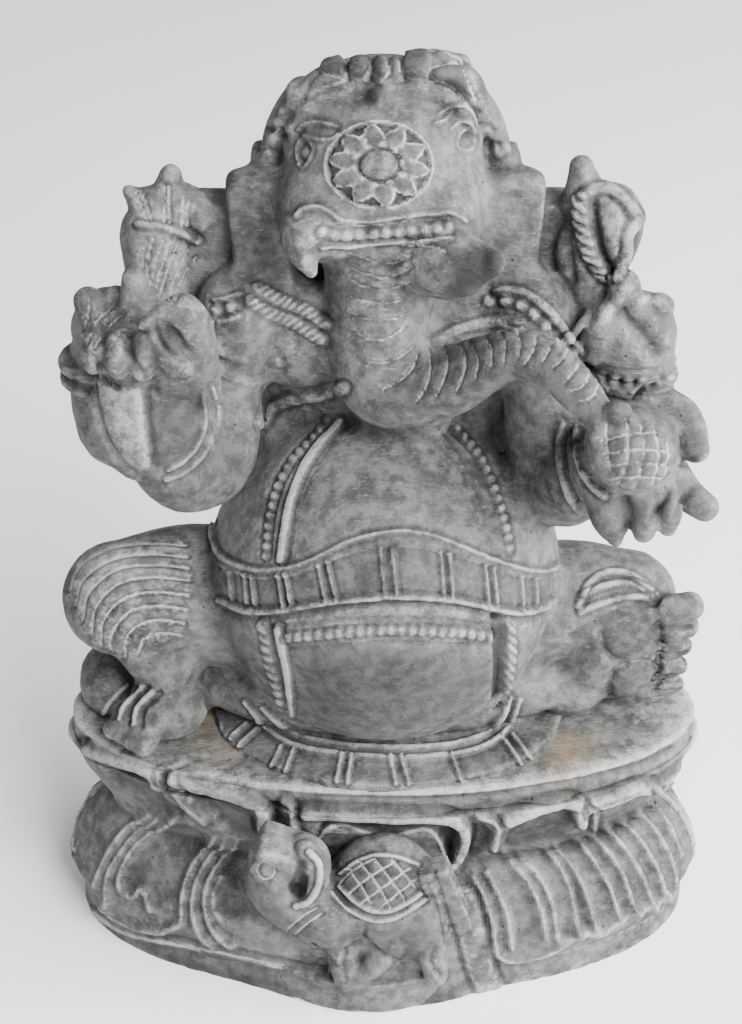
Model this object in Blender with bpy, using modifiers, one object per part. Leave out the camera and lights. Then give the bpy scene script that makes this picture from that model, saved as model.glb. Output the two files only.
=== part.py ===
"""Ganesha seated on an oval double lotus pedestal, carved from one block of soft grey stone.

The figure is modelled as a sculptor blocks it out: balls, limbs and blocks of clay are merged
into one skin, softened, dressed with bands, cords, beads and petals, and merged again.
"""
from math import cos, pi, radians, sin

import bmesh
import bpy
import numpy as np
from mathutils import Euler, Matrix, Vector

# The pedestal, in metres
PLINTH_HALF_WIDTH = 0.0765
PLINTH_HALF_DEPTH = 0.0355
PLINTH_HEIGHT = 0.009
WAIST_HALF_WIDTH = 0.0670
WAIST_HALF_DEPTH = 0.0262
WAIST_HEIGHT = 0.0335
RIM_HALF_WIDTH = 0.0750
RIM_HALF_DEPTH = 0.0310
RIM_THICKNESS = 0.0062
PEDESTAL_HEIGHT = 0.060
RIM_SETBACK = 0.004
LOWER_PETALS = 18
UPPER_PETALS = 11
PETAL_RELIEF = 0.0024

# Clay below the ground, which the flat cut of the underside takes away
WASTE = 0.0015

# The figure above its seat, in metres: its pose and carving are shares of this height
FIGURE_HEIGHT = 0.155
FIGURE_SHARES = 155.0
CLOTH_THICKNESS = 0.0022

# The mouse in relief at the front: its carving is a share of its length
MOUSE_LENGTH = 0.046
MOUSE_SHARES = 46.0

# How finely the clay is merged and how many facets the stone keeps
BLOCKING_GRAIN = 0.0015
CARVING_GRAIN = 0.0010
FACETS = 9300

UNIT = FIGURE_HEIGHT / FIGURE_SHARES
MOUSE_UNIT = MOUSE_LENGTH / MOUSE_SHARES
LEFT, RIGHT = -1, 1
STONE_COLOUR = (0.25, 0.25, 0.245, 1.0)


def remove_old_objects():
    """Clear the objects that the scene holds."""
    for item in list(bpy.data.objects):
        bpy.data.objects.remove(item, do_unlink=True)


def stone_material():
    """Dry, slightly rubbed grey stone."""
    material = bpy.data.materials.new("grey_stone")
    material.use_nodes = True
    shader = material.node_tree.nodes["Principled BSDF"]
    shader.inputs["Base Color"].default_value = STONE_COLOUR
    shader.inputs["Roughness"].default_value = 0.75
    shader.inputs["Metallic"].default_value = 0.0
    return material


def smooth_path(points, steps=6):
    """Points on a smooth curve through the given rows of numbers (position and radius alike)."""
    rows = np.array(points, dtype=float)
    if len(rows) == 2:
        return rows
    ends = np.vstack([2 * rows[0] - rows[1], rows, 2 * rows[-1] - rows[-2]])
    path = []
    for a, b, c, d in zip(ends[:-3], ends[1:-2], ends[2:-1], ends[3:]):
        for t in np.arange(steps) / steps:
            path.append(0.5 * (2 * b + (c - a) * t + (2 * a - 5 * b + 4 * c - d) * t ** 2
                               + (3 * b - a - 3 * c + d) * t ** 3))
    path.append(rows[-1])
    return np.array(path)


class Clay:
    """Closed solids on their way to becoming one skin, placed in units of their own."""

    def __init__(self, unit=1.0, seat=(0.0, 0.0, 0.0)):
        self.mesh = bmesh.new()
        self.unit = unit
        self.frame = Matrix.Translation(Vector(seat)) @ Matrix.Scale(unit, 4)
        self.limbs = []

    def ball(self, centre, radii, turn=(0, 0, 0), detail=3):
        """An ellipsoid; turn is in degrees about X, Y and Z."""
        radii = (radii,) * 3 if isinstance(radii, (int, float)) else radii
        spin = Euler([radians(angle) for angle in turn])
        place = Matrix.LocRotScale(Vector(centre), spin, Vector(radii))
        bmesh.ops.create_icosphere(self.mesh, subdivisions=detail, radius=1.0,
                                   matrix=self.frame @ place)

    def block(self, centre, size, turn=(0, 0, 0)):
        """A box, whose edges the softening rounds."""
        spin = Euler([radians(angle) for angle in turn])
        place = Matrix.LocRotScale(Vector(centre), spin, Vector(size))
        bmesh.ops.create_cube(self.mesh, size=1.0, matrix=self.frame @ place)

    def disc(self, foot, radii, height):
        """A flat oval plate standing on its foot's centre."""
        place = Matrix.LocRotScale(Vector(foot) + Vector((0, 0, height / 2)), None, Vector((*radii, height)))
        bmesh.ops.create_cone(self.mesh, cap_ends=True, segments=96, radius1=1.0, radius2=1.0, depth=1.0,
                              matrix=self.frame @ place)

    def limb(self, *points, steps=6):
        """A round tube of changing thickness with round ends, through rows of x, y, z, radius."""
        path = smooth_path(points, steps)
        self.limbs.append(path)
        for x, y, z, radius in (path[0], path[-1]):
            self.ball((x, y, z), radius, detail=2)

    def beads(self, path, radius, pitch):
        """A row of small balls along a path."""
        path = np.array(path)[:, :3]
        lengths = np.linalg.norm(np.diff(path, axis=0), axis=1)
        along = np.concatenate([[0.0], np.cumsum(lengths)])
        count = max(2, round(along[-1] / pitch) + 1)
        for place in np.linspace(0.0, along[-1], count):
            centre = [np.interp(place, along, path[:, axis]) for axis in range(3)]
            self.ball(centre, radius, detail=2)

    def limb_mesh(self):
        """All limbs as one curve object's mesh."""
        curve = bpy.data.curves.new("limbs", "CURVE")
        curve.dimensions = "3D"
        curve.bevel_depth = 1.0
        curve.bevel_resolution = 5
        curve.use_fill_caps = True
        for path in self.limbs:
            spline = curve.splines.new("POLY")
            spline.points.add(len(path) - 1)
            for point, row in zip(spline.points, path):
                point.co = (*(self.frame @ Vector(row[:3])), 1.0)
                point.radius = row[3] * self.unit
        holder = bpy.data.objects.new("limbs", curve)
        bpy.context.scene.collection.objects.link(holder)
        bpy.context.view_layer.update()
        graph = bpy.context.evaluated_depsgraph_get()
        mesh = bpy.data.meshes.new_from_object(holder.evaluated_get(graph))
        bpy.data.objects.remove(holder)
        return mesh

    def take(self, other):
        """Add a finished mesh."""
        self.mesh.from_mesh(other)

    def skin(self, name, grain, softening):
        """Merge everything into one closed skin of the given grain, and soften it."""
        if self.limbs:
            self.take(self.limb_mesh())
        mesh = bpy.data.meshes.new(name)
        self.mesh.to_mesh(mesh)
        self.mesh.free()
        holder = bpy.data.objects.new(name, mesh)
        bpy.context.scene.collection.objects.link(holder)
        merge = holder.modifiers.new("merge", "REMESH")
        merge.mode = "VOXEL"
        merge.voxel_size = grain
        merge.use_smooth_shade = True
        if softening:
            soften = holder.modifiers.new("soften", "SMOOTH")
            soften.factor = 0.5
            soften.iterations = softening
        bpy.context.view_layer.update()
        graph = bpy.context.evaluated_depsgraph_get()
        skin = bpy.data.meshes.new_from_object(holder.evaluated_get(graph))
        bpy.data.objects.remove(holder)
        return skin


def arc(centre, radii, start, end, count=12, tilt=0.0):
    """Points of an arc about +Z, from one angle to another in degrees, tipped about X."""
    tip = Matrix.Rotation(radians(tilt), 3, "X")
    angles = np.radians(np.linspace(start, end, count))
    return [Vector(centre) + tip @ Vector((radii[0] * cos(a), radii[1] * sin(a), 0)) for a in angles]


def with_radius(points, radius):
    """Rows of x, y, z, radius for a limb of one thickness."""
    return [(*point, radius) for point in points]


def ring(clay, centre, radii, thickness, turn=(0, 0, 0), start=0, end=360):
    """A hoop or part of one about a limb: an ellipse turned by degrees about X, Y and Z."""
    spin = Euler([radians(angle) for angle in turn]).to_matrix()
    angles = np.radians(np.linspace(start, end, 25))
    points = [Vector(centre) + spin @ Vector((radii[0] * cos(a), radii[1] * sin(a), 0)) for a in angles]
    clay.limb(*with_radius(points, thickness), steps=1)


def mirrored(side, *points):
    """Rows of numbers with X turned to the given side."""
    return [(side * point[0], *point[1:]) for point in points]


def petal_height(across, along, shoulder=0.55, power=3.0):
    """Relief of one lotus petal, 0 to about 1: rolled rim, groove, and a swollen inner leaf."""
    tip = np.clip((along - shoulder) / (1 - shoulder), 0, None)
    reach = (np.abs(across) ** power + tip ** power) ** (1 / power)
    leaf = 0.75 * np.sqrt(np.clip(1 - reach ** 4, 0, 1))
    rim = 0.45 * np.exp(-((reach - 0.84) / 0.09) ** 2)
    groove = 0.30 * np.exp(-((reach - 0.66) / 0.05) ** 2)
    return leaf + rim - groove


def pedestal_rows():
    """Heights with half width, half depth and setback of the oval, foot to rim."""
    fascia = PEDESTAL_HEIGHT - RIM_THICKNESS
    foot = (PLINTH_HALF_WIDTH, PLINTH_HALF_DEPTH, RIM_SETBACK / 4)
    waist = (WAIST_HALF_WIDTH, WAIST_HALF_DEPTH, RIM_SETBACK)
    rim = (RIM_HALF_WIDTH, RIM_HALF_DEPTH, RIM_SETBACK)

    def between(lower, upper, share, swell=0.0):
        return [a + (b - a) * share + (swell if i < 2 else 0) for i, (a, b) in enumerate(zip(lower, upper))]

    rows = [(-WASTE, *between(foot, waist, 0)), (WASTE, *between(foot, waist, 0))]
    rows += [(PLINTH_HEIGHT - 0.0005, *between(foot, waist, 0)), (PLINTH_HEIGHT, *between(foot, waist, 0.1))]
    for share in np.linspace(0, 1, 30):
        height = PLINTH_HEIGHT + 0.0005 + share * (WAIST_HEIGHT - PLINTH_HEIGHT - 0.001)
        bulge = 0.0022 * sin(pi * share ** 0.7)
        rows.append((height, *between(foot, waist, 0.12 + 0.88 * share, bulge)))
    for share in np.linspace(0, 1, 26):
        height = WAIST_HEIGHT + 0.0005 + share * (fascia - WAIST_HEIGHT - 0.001)
        bulge = 0.0014 * sin(pi * share)
        rows.append((height, *between(waist, rim, 0.85 * share ** 1.2, bulge)))
    rows += [(fascia, *between(waist, rim, 0.80)), (fascia + 0.0004, *between(waist, rim, 1.0))]
    rows += [(PEDESTAL_HEIGHT - 0.001, *rim), (PEDESTAL_HEIGHT, *between(waist, rim, 0.85))]
    return np.array(rows)


def pedestal_relief(angle, height):
    """How far the petals stand out at an angle from the front and a height, in metres."""
    fascia = PEDESTAL_HEIGHT - RIM_THICKNESS
    relief = np.zeros_like(angle)
    lower = (height > PLINTH_HEIGHT) & (height < WAIST_HEIGHT)
    upper = (height > WAIST_HEIGHT) & (height < fascia)
    for zone, count, offset, tip, root in (
            (lower, LOWER_PETALS, radians(15.5), PLINTH_HEIGHT, WAIST_HEIGHT),
            (upper, UPPER_PETALS, radians(180 / UPPER_PETALS), fascia, WAIST_HEIGHT)):
        across = ((angle - offset) * count / (2 * pi)) % 1.0 * 2 - 1
        along = (height - root) / (tip - root)
        across = across / (0.86 + 0.14 * np.clip(along, 0, 1))
        relief = np.where(zone, PETAL_RELIEF * petal_height(across, along), relief)
    return relief


def pedestal_mesh(columns=420):
    """The oval pedestal: a loft of its rows, with petals raised on it."""
    rows = pedestal_rows()
    angle = np.linspace(0, 2 * pi, columns, endpoint=False)
    mesh = bmesh.new()
    loops = []
    for height, half_width, half_depth, setback in rows:
        relief = pedestal_relief(angle, np.full(columns, height))
        xs = (half_width + relief) * np.sin(angle)
        ys = setback - (half_depth + relief) * np.cos(angle)
        loops.append([mesh.verts.new((x, y, height)) for x, y in zip(xs, ys)])
    for lower, upper in zip(loops[:-1], loops[1:]):
        for i in range(columns):
            j = (i + 1) % columns
            mesh.faces.new((lower[i], lower[j], upper[j], upper[i]))
    mesh.faces.new(list(reversed(loops[0])))
    mesh.faces.new(loops[-1])
    bmesh.ops.triangulate(mesh, faces=[f for f in mesh.faces if len(f.verts) > 4])
    bmesh.ops.recalc_face_normals(mesh, faces=mesh.faces)
    result = bpy.data.meshes.new("pedestal")
    mesh.to_mesh(result)
    mesh.free()
    return result


def block_out_body(clay):
    """Belly, chest, back, shoulders and lap."""
    clay.ball((0, 5, 41.5), (40, 36, 38), detail=5)
    clay.ball((0, 4, 31), (37, 33, 30), detail=5)
    clay.ball((0, 20, 90), (31, 14, 25), detail=4)
    clay.ball((0, 21, 60), (34, 14, 46), detail=4)
    clay.ball((0, 8, 10), (50, 23, 12), detail=4)
    for side in (LEFT, RIGHT):
        clay.ball((side * 18, 10, 100), (14, 9, 13))
        clay.ball((side * 30, 10, 106), (10, 10, 11))
    clay.block((0, 21, 120), (56, 12, 34))


def block_out_head(clay):
    """Skull, cheeks, ears, crown of locks and the root of the trunk."""
    clay.ball((-1, 16, 135), (21.5, 20, 20.5), detail=4)
    clay.ball((-1, 8, 132), (18, 13, 14))
    clay.ball((-1, 4.5, 129.5), (15, 11, 8))
    for side in (LEFT, RIGHT):
        clay.ball((side * 13.5 - 1, 6, 131), (7.5, 10, 11))
        clay.block((side * 25.8, 11, 124), (12.2, 9, 24), (0, side * 4, 0))
        clay.ball((side * 26.6, 11, 135), (6.0, 4.4, 3.0))
        clay.limb(*mirrored(side, (22.5, 18, 135, 3.8), (20.8, 19, 143, 3.9), (17, 21, 150, 3.4)))
    clay.ball((-1, 23, 144), (17.5, 13, 12.5))


def block_out_trunk(clay):
    """The trunk: down over the chest, round on the belly and up to the sweet."""
    clay.ball((-0.5, 7, 131), (13.5, 12, 10))
    clay.limb((-0.5, 8, 128.5, 12.6), (-1, 6.5, 115.5, 11.8), (-1, 5, 104, 11.4), (0, 2.5, 94.5, 11.0),
              (6, -1.5, 94.6, 9.5), (13, -5, 97.3, 7.6), (20, -9, 103.5, 6.1), (27, -13, 108.6, 5.2),
              (33, -17, 108.3, 4.8), (38, -21.5, 105.2, 4.4), (42, -25, 101.5, 3.8), steps=8)
    clay.limb((0, 8, 86, 8), (8, 4, 84, 7))


def carve_tusks(clay):
    """The viewer's left tusk is broken short; the other ends in a blunt tip."""
    clay.limb((-10.5, -1, 131, 6.8), (-16.4, -4.6, 131.2, 5.0))
    clay.limb((-17, -5, 131, 4.2), (-15.8, -7, 126.4, 3.0), (-14.6, -8, 122.8, 1.2))
    clay.limb((8, 0, 124.6, 8.6), (13, -4.2, 124.6, 7.8), (17.4, -6.4, 125.3, 5.8), (20.6, -7.8, 126.4, 3.0))


def carve_crown(clay):
    """Leaf-like locks lying round the top of the head, a drop between them and curls down the sides."""
    locks = (((-17, 15, 149.5), (3.8, 5, 6.5), -32), ((-11.5, 14.5, 154.6), (6, 5.5, 4.2), -18),
             ((-5, 14, 156.2), (4.6, 5.5, 4.0), -6), ((-0.3, 13, 156.6), (2.5, 5.4, 4.0), 0),
             ((3.4, 14.2, 155.9), (3.0, 5, 3.5), 0), ((8.6, 15, 156.0), (5.2, 6, 4.2), 4),
             ((14.0, 15.5, 153.4), (6.2, 6, 4.4), 28), ((18.2, 15.5, 149.2), (3.6, 5.4, 6.0), 34))
    for centre, radii, lean in locks:
        clay.ball(centre, radii, (0, lean, 0))
    clay.limb((-19.5, 18, 144, 3.2), (-15, 19, 150, 3.6), (-6, 20, 152.5, 3.6), (6, 20, 153, 3.6),
              (15, 19, 150.5, 3.8), (19.6, 18, 144.5, 3.4))
    clay.limb((9.2, 20, 156.6, 2.8), (14.8, 21, 155.6, 2.3))
    clay.ball((-2, 8.8, 154.6), (1.7, 2.6, 3.2))
    for side in (LEFT, RIGHT):
        for place in range(5):
            share = place / 4
            clay.ball((side * (24.4 - 5 * share), 15.5, 137 + 11 * share), (2.6, 2.4, 2.0), detail=2)


def block_out_arms(clay):
    """Two arms a side: the front pair holds a palm and a sweet, the rear pair rises behind."""
    clay.limb((-30, 8, 107, 10), (-35, 6, 92, 9.6), (-38, 0, 76, 10.5), (-43, -4, 76, 10.5),
              (-47, -8, 86, 9.8))
    clay.limb((-30, 14, 105, 9), (-44, 14, 89, 8.5), (-57, 11, 75, 9.5), (-61, 10, 83, 7.4),
              (-60, 9, 97, 7.2))
    clay.limb((30, 8, 106, 10), (34, 6, 90, 9.5), (37.5, 3, 68, 10), (41, -3, 71, 9.5),
              (45, -9, 79, 9))
    clay.limb((31, 14, 104, 9), (42, 15, 89, 8.5), (51, 11, 74, 9), (53.5, 8, 84, 7.6),
              (53, 7, 97, 7.4))


def carve_left_hands(clay):
    """The viewer's left: a raised palm in front and a fist with its attribute behind."""
    clay.ball((-48.5, -11, 91), (13, 7.5, 15.5), (0, -12, 0))
    clay.ball((-50.5, -10, 104), (8.5, 5, 6))
    clay.ball((-42, -12, 106), (6, 5, 9))
    clay.limb((-57.8, -9, 101, 2.6), (-58.6, -14, 109, 2.3), (-58.6, -17.5, 111.6, 2.2))
    clay.limb((-53.2, -10, 101, 2.6), (-53.8, -15, 112, 2.5), (-53.4, -18.4, 111.6, 2.5),
              (-52.8, -19, 107, 2.1))
    clay.limb((-48.2, -10, 102, 2.8), (-49, -15, 113.4, 2.8), (-48.2, -19, 112.4, 2.9), (-46, -20, 106, 2.2))
    clay.limb((-38.5, -10, 100, 5.2), (-38.6, -13, 112, 5.0), (-39.8, -16, 118.8, 4.6))
    clay.limb((-40, -16, 119.6, 4.2), (-44.4, -18, 119.8, 2.5), (-47.6, -18.5, 118.8, 1.4))
    clay.limb((-44.6, -19.5, 116.4, 2.0), (-42.4, -20.8, 112.8, 2.8), (-40.2, -20, 109.4, 2.4))
    clay.ball((-58.5, 8, 102), (8, 7.5, 9.5))
    for x, z in ((-62, 110), (-56, 110)):
        clay.limb((x + 2, 6, z - 10, 3.2), (x + 1, 4.5, z - 4, 3.2), (x, 6, z, 3.2))
    clay.limb((-53, 5, 101, 3.6), (-51.5, 3, 109, 3.8), (-51, 4, 116, 3.2))
    clay.limb((-46, 6, 103, 4.5), (-47, 8, 113, 6.4), (-47.5, 9, 124, 7.2))
    clay.limb((-47.5, 10, 125, 6), (-51.5, 11, 132.5, 1.8))
    clay.limb((-45.5, 10, 126, 6.5), (-43, 12, 137.5, 2.4))
    clay.ball((-43, 11, 128), (8, 5, 6.5))
    clay.block((-37, 17, 121), (15, 7, 17))


def carve_right_hands(clay):
    """The viewer's right: a sweet on an open hand in front, a noose in the hand behind."""
    clay.ball((50, -17, 85), (11.5, 9, 9), (0, -10, 0))
    clay.ball((49, -25, 94.5), (9.6, 9.3, 9.3))
    clay.ball((57, -15, 91), (6, 6, 7))
    clay.ball((45.4, -27.5, 104.2), (3.0, 2.6, 2.4))
    clay.ball((42.2, -28.2, 99.6), (2.6, 2.6, 3.2))
    fingers = (((45, -20, 82, 5.2), (46.5, -24, 75.5, 4.2), (47.5, -25, 71, 1.6)),
               ((51, -22, 81, 4.4), (52.5, -26.5, 78, 3.6), (53, -27, 74.5, 2.2)),
               ((56, -21, 82, 4.2), (57.5, -26, 79, 3.2), (58, -26.5, 75.5, 2.0)),
               ((59, -17, 82, 4.4), (62.5, -21, 79.5, 3.5), (65.5, -23, 78, 3.2)),
               ((55, -14, 96.5, 5.2), (60, -17, 95.0, 4.6), (63.2, -19, 89.6, 3.0)))
    for finger in fingers:
        clay.limb(*finger)
    clay.ball((52, 6, 101), (9.5, 7.5, 11))
    clay.limb((45, 4, 100, 4), (44.5, 2, 105, 3.6), (46, 3, 109, 3))
    clay.limb((50, 4, 106, 3.8), (49, 4, 115, 3.4))
    clay.limb((54, 5, 105, 3.8), (57, 5, 109, 3.0))
    clay.ball((44, 9, 123), (8.6, 4.6, 13), (0, 14, 0))
    clay.ball((43, 9, 112), (5, 5, 9))
    clay.limb((41, 11, 130, 5.5), (39.5, 12, 137.5, 2.6))
    clay.limb((47, 8, 127, 4), (50.5, 9, 128, 2.6))
    clay.block((37, 17, 121), (15, 7, 17))


def block_out_legs(clay):
    """Bent legs: a draped knee over its foot on one side, a foot's sole shown on the other."""
    clay.limb((-26, 12, 24, 18), (-44, 6, 33, 16), (-60.5, 0, 36, 13.2))
    clay.limb((-56, 0, 32, 11), (-50, -4, 20, 8.5))
    clay.ball((-50, -6, 10), (9.5, 10, 9))
    clay.ball((-56, -8, 6), (8, 7, 5))
    clay.ball((-65, 8, 5), (8.5, 11, 8))
    clay.limb((26, 12, 22, 17), (44, 10, 28, 14), (57, 8, 29.5, 11.5))
    clay.ball((56, 8, 16), (13, 9, 16))
    clay.ball((44, 6, 8), (10, 12, 9))
    clay.limb((47, 1, 9, 5), (50, 1, 20, 6.5), (54, 1, 30, 5))
    clay.ball((56, 1, 19), (9, 6, 14))


def carve_feet(clay):
    """Toes of both feet."""
    for place in range(5):
        share = place / 4
        clay.limb((-57 + 8 * share, -7 - 5 * share, 12, 2.3), (-61.5 + 8 * share, -8.5 - 5.5 * share, 9, 2.3),
                  (-65 + 8.5 * share, -9 - 6 * share, 4.5, 2.0 + 1.2 * share))
    for place, size in enumerate((3.6, 2.9, 2.8, 2.7, 2.5)):
        height = 32.5 - 6.0 * place
        clay.limb((61, 0, height - 1, size), (66, -0.5, height, size),
                  (70 - 0.3 * place, 0, height + 0.4, size * 0.95))


BELLY_CENTRE = Vector((0, 5, 41.5))
BELLY_RADII = Vector((40, 36, 38))


def on_belly(across, up, lift=0.0):
    """A point of the belly at an angle across from the front and an angle up, in degrees."""
    a, b = radians(across), radians(up)
    out = (sin(a) * cos(b), -cos(a) * cos(b), sin(b))
    return BELLY_CENTRE + Vector([(radius + lift) * share for radius, share in zip(BELLY_RADII, out)])


def belly_cord(clay, stops, radius, steps=6, lift=0.0):
    """A cord on the belly through stops of degrees across and up."""
    for_path = [(*stop, 0.0) for stop in stops]
    path = smooth_path(for_path, steps)
    clay.limb(*[(*on_belly(across, up, lift), radius) for across, up, _ in path], steps=1)


BELT_TOP = ((-96, 6), (-74, 11), (-56, 21), (-34, 33), (0, 45), (30, 38), (55, 18), (82, 3), (100, 2))
BELT_FOOT = ((-90, -3), (-56, 7), (-30, 19), (0, 24), (30, 19), (56, 6), (90, -9))


def belt_height(stops, across):
    """How far up the belt's edge lies at an angle across, in degrees."""
    return float(np.interp(across, [a for a, _ in stops], [b for _, b in stops]))


def carve_belly_bands(clay):
    """Two bands over the belly, the boxed belt, and the apron's beaded hem and side strips."""
    for side in (LEFT, RIGHT):
        belly_cord(clay, ((side * 30, 84), (side * 40, 70), (side * 45, 50), (side * 44, 22)), 1.1)
        belly_cord(clay, ((side * 22, 84), (side * 30, 70), (side * 35, 50), (side * 35, 28)), 1.3)
        belly_cord(clay, ((side * 41, 6), (side * 44, -20), (side * 48, -48)), 1.2)
        belly_cord(clay, ((side * 34, 6), (side * 35, -20), (side * 38, -52)), 1.2)
    belly_cord(clay, BELT_TOP, 1.7)
    belly_cord(clay, BELT_FOOT, 1.5)
    belly_cord(clay, ((-38, 2), (0, 11), (38, 2)), 1.2)
    for across in range(-72, 73, 16):
        for shift in (-2.0, 2.0):
            top = belt_height(BELT_TOP, across) - 3
            foot = belt_height(BELT_FOOT, across) + 2
            belly_cord(clay, ((across + shift, top), (across + shift, foot)), 0.9)


def carve_knee_folds(clay):
    """Flutes of the cloth drawn over the knee, as hoops about a pole at the knee's inner foot."""
    centre = Vector((-60.5, 0, 36.5))
    pole = Vector((0.6, -0.75, -0.26)).normalized()
    away = pole.cross((0, 0, 1)).normalized()
    third = pole.cross(away)
    for fold in range(8):
        tilt = radians(28 + 13 * fold)
        rows = []
        for angle in np.radians(np.linspace(60, 340, 21)):
            hoop = away * cos(angle) + third * sin(angle)
            point = centre + (pole * cos(tilt) + hoop * sin(tilt)) * 13.6
            rows.append((*point, 1.4))
        clay.limb(*rows, steps=1)


def carve_jewels(clay):
    """Bangles, armlets and the beaded band at the root of the trunk."""
    ring(clay, (-41, -4, 80), (11, 11), 1.2, (60, -35, 0))
    ring(clay, (-60.5, 9, 90), (8.0, 8.0), 1.4)
    ring(clay, (-60.5, 9, 94), (7.8, 7.8), 1.2)
    ring(clay, (44, -7, 77), (9.6, 9.6), 1.1, (-55, 20, 0))
    for height in (88.5, 92, 95.5):
        ring(clay, (53, 7.5, height), (8.3, 8.3), 1.1)
    for side in (LEFT, RIGHT):
        for height in (103, 98):
            ring(clay, (side * 34, 8, height), (10.8, 10.8), 1.2, (0, side * -35, 0))
    ring(clay, (-0.5, 6.5, 131), (13.6, 13.6), 1.4)
    clay.beads(arc((-0.5, 6, 134), (14.3, 13.8), 205, 335, 20), 1.5, 3.0)


def carve_rosette(clay):
    """A flower in a ring on the forehead."""
    facing = Euler((radians(62), 0, 0)).to_matrix()
    centre = Vector((-1, -2.6, 144.5))

    def on_forehead(angle, radius):
        flat = Vector((radius * cos(angle), radius * sin(angle), 0))
        point = centre + facing @ flat
        return point + Vector((0, (point.x + 1) ** 2 / 46.0, 0))

    ring_points = [on_forehead(angle, 10.2) for angle in np.linspace(0, 2 * pi, 33)]
    clay.limb(*with_radius(ring_points, 0.9), steps=1)
    clay.ball(centre, (3.6, 1.8, 3.6), (-28, 0, 0))
    for place in range(8):
        angle = 2 * pi * (place + 0.5) / 8
        clay.limb((*on_forehead(angle, 5.0), 1.6), (*on_forehead(angle, 8.8), 0.8), steps=2)


def carve_seat_cloth(clay):
    """The cloth spread under the figure, with a boxed border, lying on the slab."""
    thickness = CLOTH_THICKNESS / UNIT
    clay.disc((1, 1, 0), (41.5, 27), thickness)
    clay.disc((1, 1, 0), (32, 20.5), thickness * 1.6)
    for place in range(11):
        angle = radians(195 + 15 * place)
        inner = (1 + 34 * cos(angle), 1 + 22 * sin(angle), thickness, 0.8)
        outer = (1 + 40 * cos(angle), 1 + 26 * sin(angle), thickness, 0.8)
        clay.limb(inner, outer)


def carve_mouse(clay):
    """The mouse at the front of the pedestal, in profile with its head raised."""
    clay.ball((0, -30, 30), (15, 9, 18))
    clay.ball((8, -31, 25), (9, 8, 14))
    clay.ball((0, -32, 41), (11, 6.5, 10))
    clay.limb((-25.4, -33.5, 51, 5.4), (-26, -33.5, 44, 6.6), (-23.4, -32.5, 35, 7.8), (-14, -31.5, 28, 10))
    clay.ball((-29.5, -34, 52.5), (3.2, 4, 3.2))
    clay.block((0, -31, 15), (27, 11, 13))
    clay.limb((-18, -35.5, 51, 2.4), (-15.4, -36.6, 47.4, 2.6), (-15.4, -37.4, 41, 2.6),
              (-18.6, -38, 37, 2.6), (-22, -37.6, 36, 2.2))
    clay.ball((-18.5, -33, 43), (6.5, 4.6, 10))
    clay.limb((-10, -35, 22, 4.4), (-9.6, -37.5, 14, 3.4), (-9, -38.5, 11, 3.0))
    clay.limb((2, -35, 20, 4.2), (-3, -38, 14, 3.0), (-8, -38.5, 11, 2.2))
    clay.limb((10, -34, 22, 4.4), (12, -37, 14, 3.4), (12.4, -38, 11.5, 3.0))
    waste = WASTE / MOUSE_UNIT
    clay.disc((-4, -24, -waste), (25, 16.4), 9.6 + waste)
    clay.block((17, -32.2, 25), (7.2, 5, 46), (11, -15.5, 0))
    clay.block((13, -31, 25), (5, 4, 44), (11, -13, 0))


def trimmed(stone):
    """Thin the skin to its number of facets, and cut its underside flat."""
    facets = sum(len(face.vertices) - 2 for face in stone.data.polygons)
    thin = stone.modifiers.new("facets", "DECIMATE")
    thin.ratio = FACETS / facets
    thin.use_collapse_triangulate = True
    half = 4 * PLINTH_HALF_WIDTH
    bpy.ops.mesh.primitive_cube_add(size=1.0, location=(0, 0, half / 2), scale=(half, half, half))
    keep = bpy.context.object
    keep.name = "above_the_ground"
    keep.hide_render = True
    keep.display_type = "WIRE"
    cut = stone.modifiers.new("flat underside", "BOOLEAN")
    cut.operation = "INTERSECT"
    cut.solver = "EXACT"
    cut.object = keep
    return keep


def main():
    remove_old_objects()
    stone_clay = Clay(UNIT, (0, 0, PEDESTAL_HEIGHT))
    block_out_body(stone_clay)
    block_out_head(stone_clay)
    block_out_trunk(stone_clay)
    block_out_arms(stone_clay)
    block_out_legs(stone_clay)
    blocked = stone_clay.skin("blocked_out", BLOCKING_GRAIN, 6)

    figure = Clay(UNIT, (0, 0, PEDESTAL_HEIGHT))
    figure.take(blocked)
    for carve in (carve_tusks, carve_crown, carve_left_hands, carve_right_hands, carve_feet,
                  carve_belly_bands, carve_knee_folds, carve_jewels, carve_rosette, carve_seat_cloth):
        carve(figure)
    mouse = Clay(MOUSE_UNIT)
    carve_mouse(mouse)
    figure.take(mouse.skin("mouse", CARVING_GRAIN, 2))
    figure.take(pedestal_mesh())
    skin = figure.skin("ganesha_statue", CARVING_GRAIN, 2)

    skin.materials.clear()
    skin.materials.append(stone_material())
    stone = bpy.data.objects.new("ganesha_statue", skin)
    home = bpy.data.collections.new("ganesha_statue")
    bpy.context.scene.collection.children.link(home)
    home.objects.link(stone)
    cutter = trimmed(stone)
    cutters = bpy.data.collections.new("cutters")
    bpy.context.scene.collection.children.link(cutters)
    for holder in list(cutter.users_collection):
        holder.objects.unlink(cutter)
    cutters.objects.link(cutter)


main()
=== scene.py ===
"""Looks for a seated Ganesha on a double lotus pedestal, carved from soft grey stone.

The figure, the pedestal and the mouse are modelled as clay, merged into fine skins, and chiselled:
each cut is a stroke drawn on the photograph's plane and laid on the surface that it meets.
"""
from math import cos, hypot, pi, radians, sin

import bmesh
import bpy
import numpy as np
from bpy.props import FloatProperty, FloatVectorProperty, IntProperty, PointerProperty
from mathutils import Euler, Matrix, Vector


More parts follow.
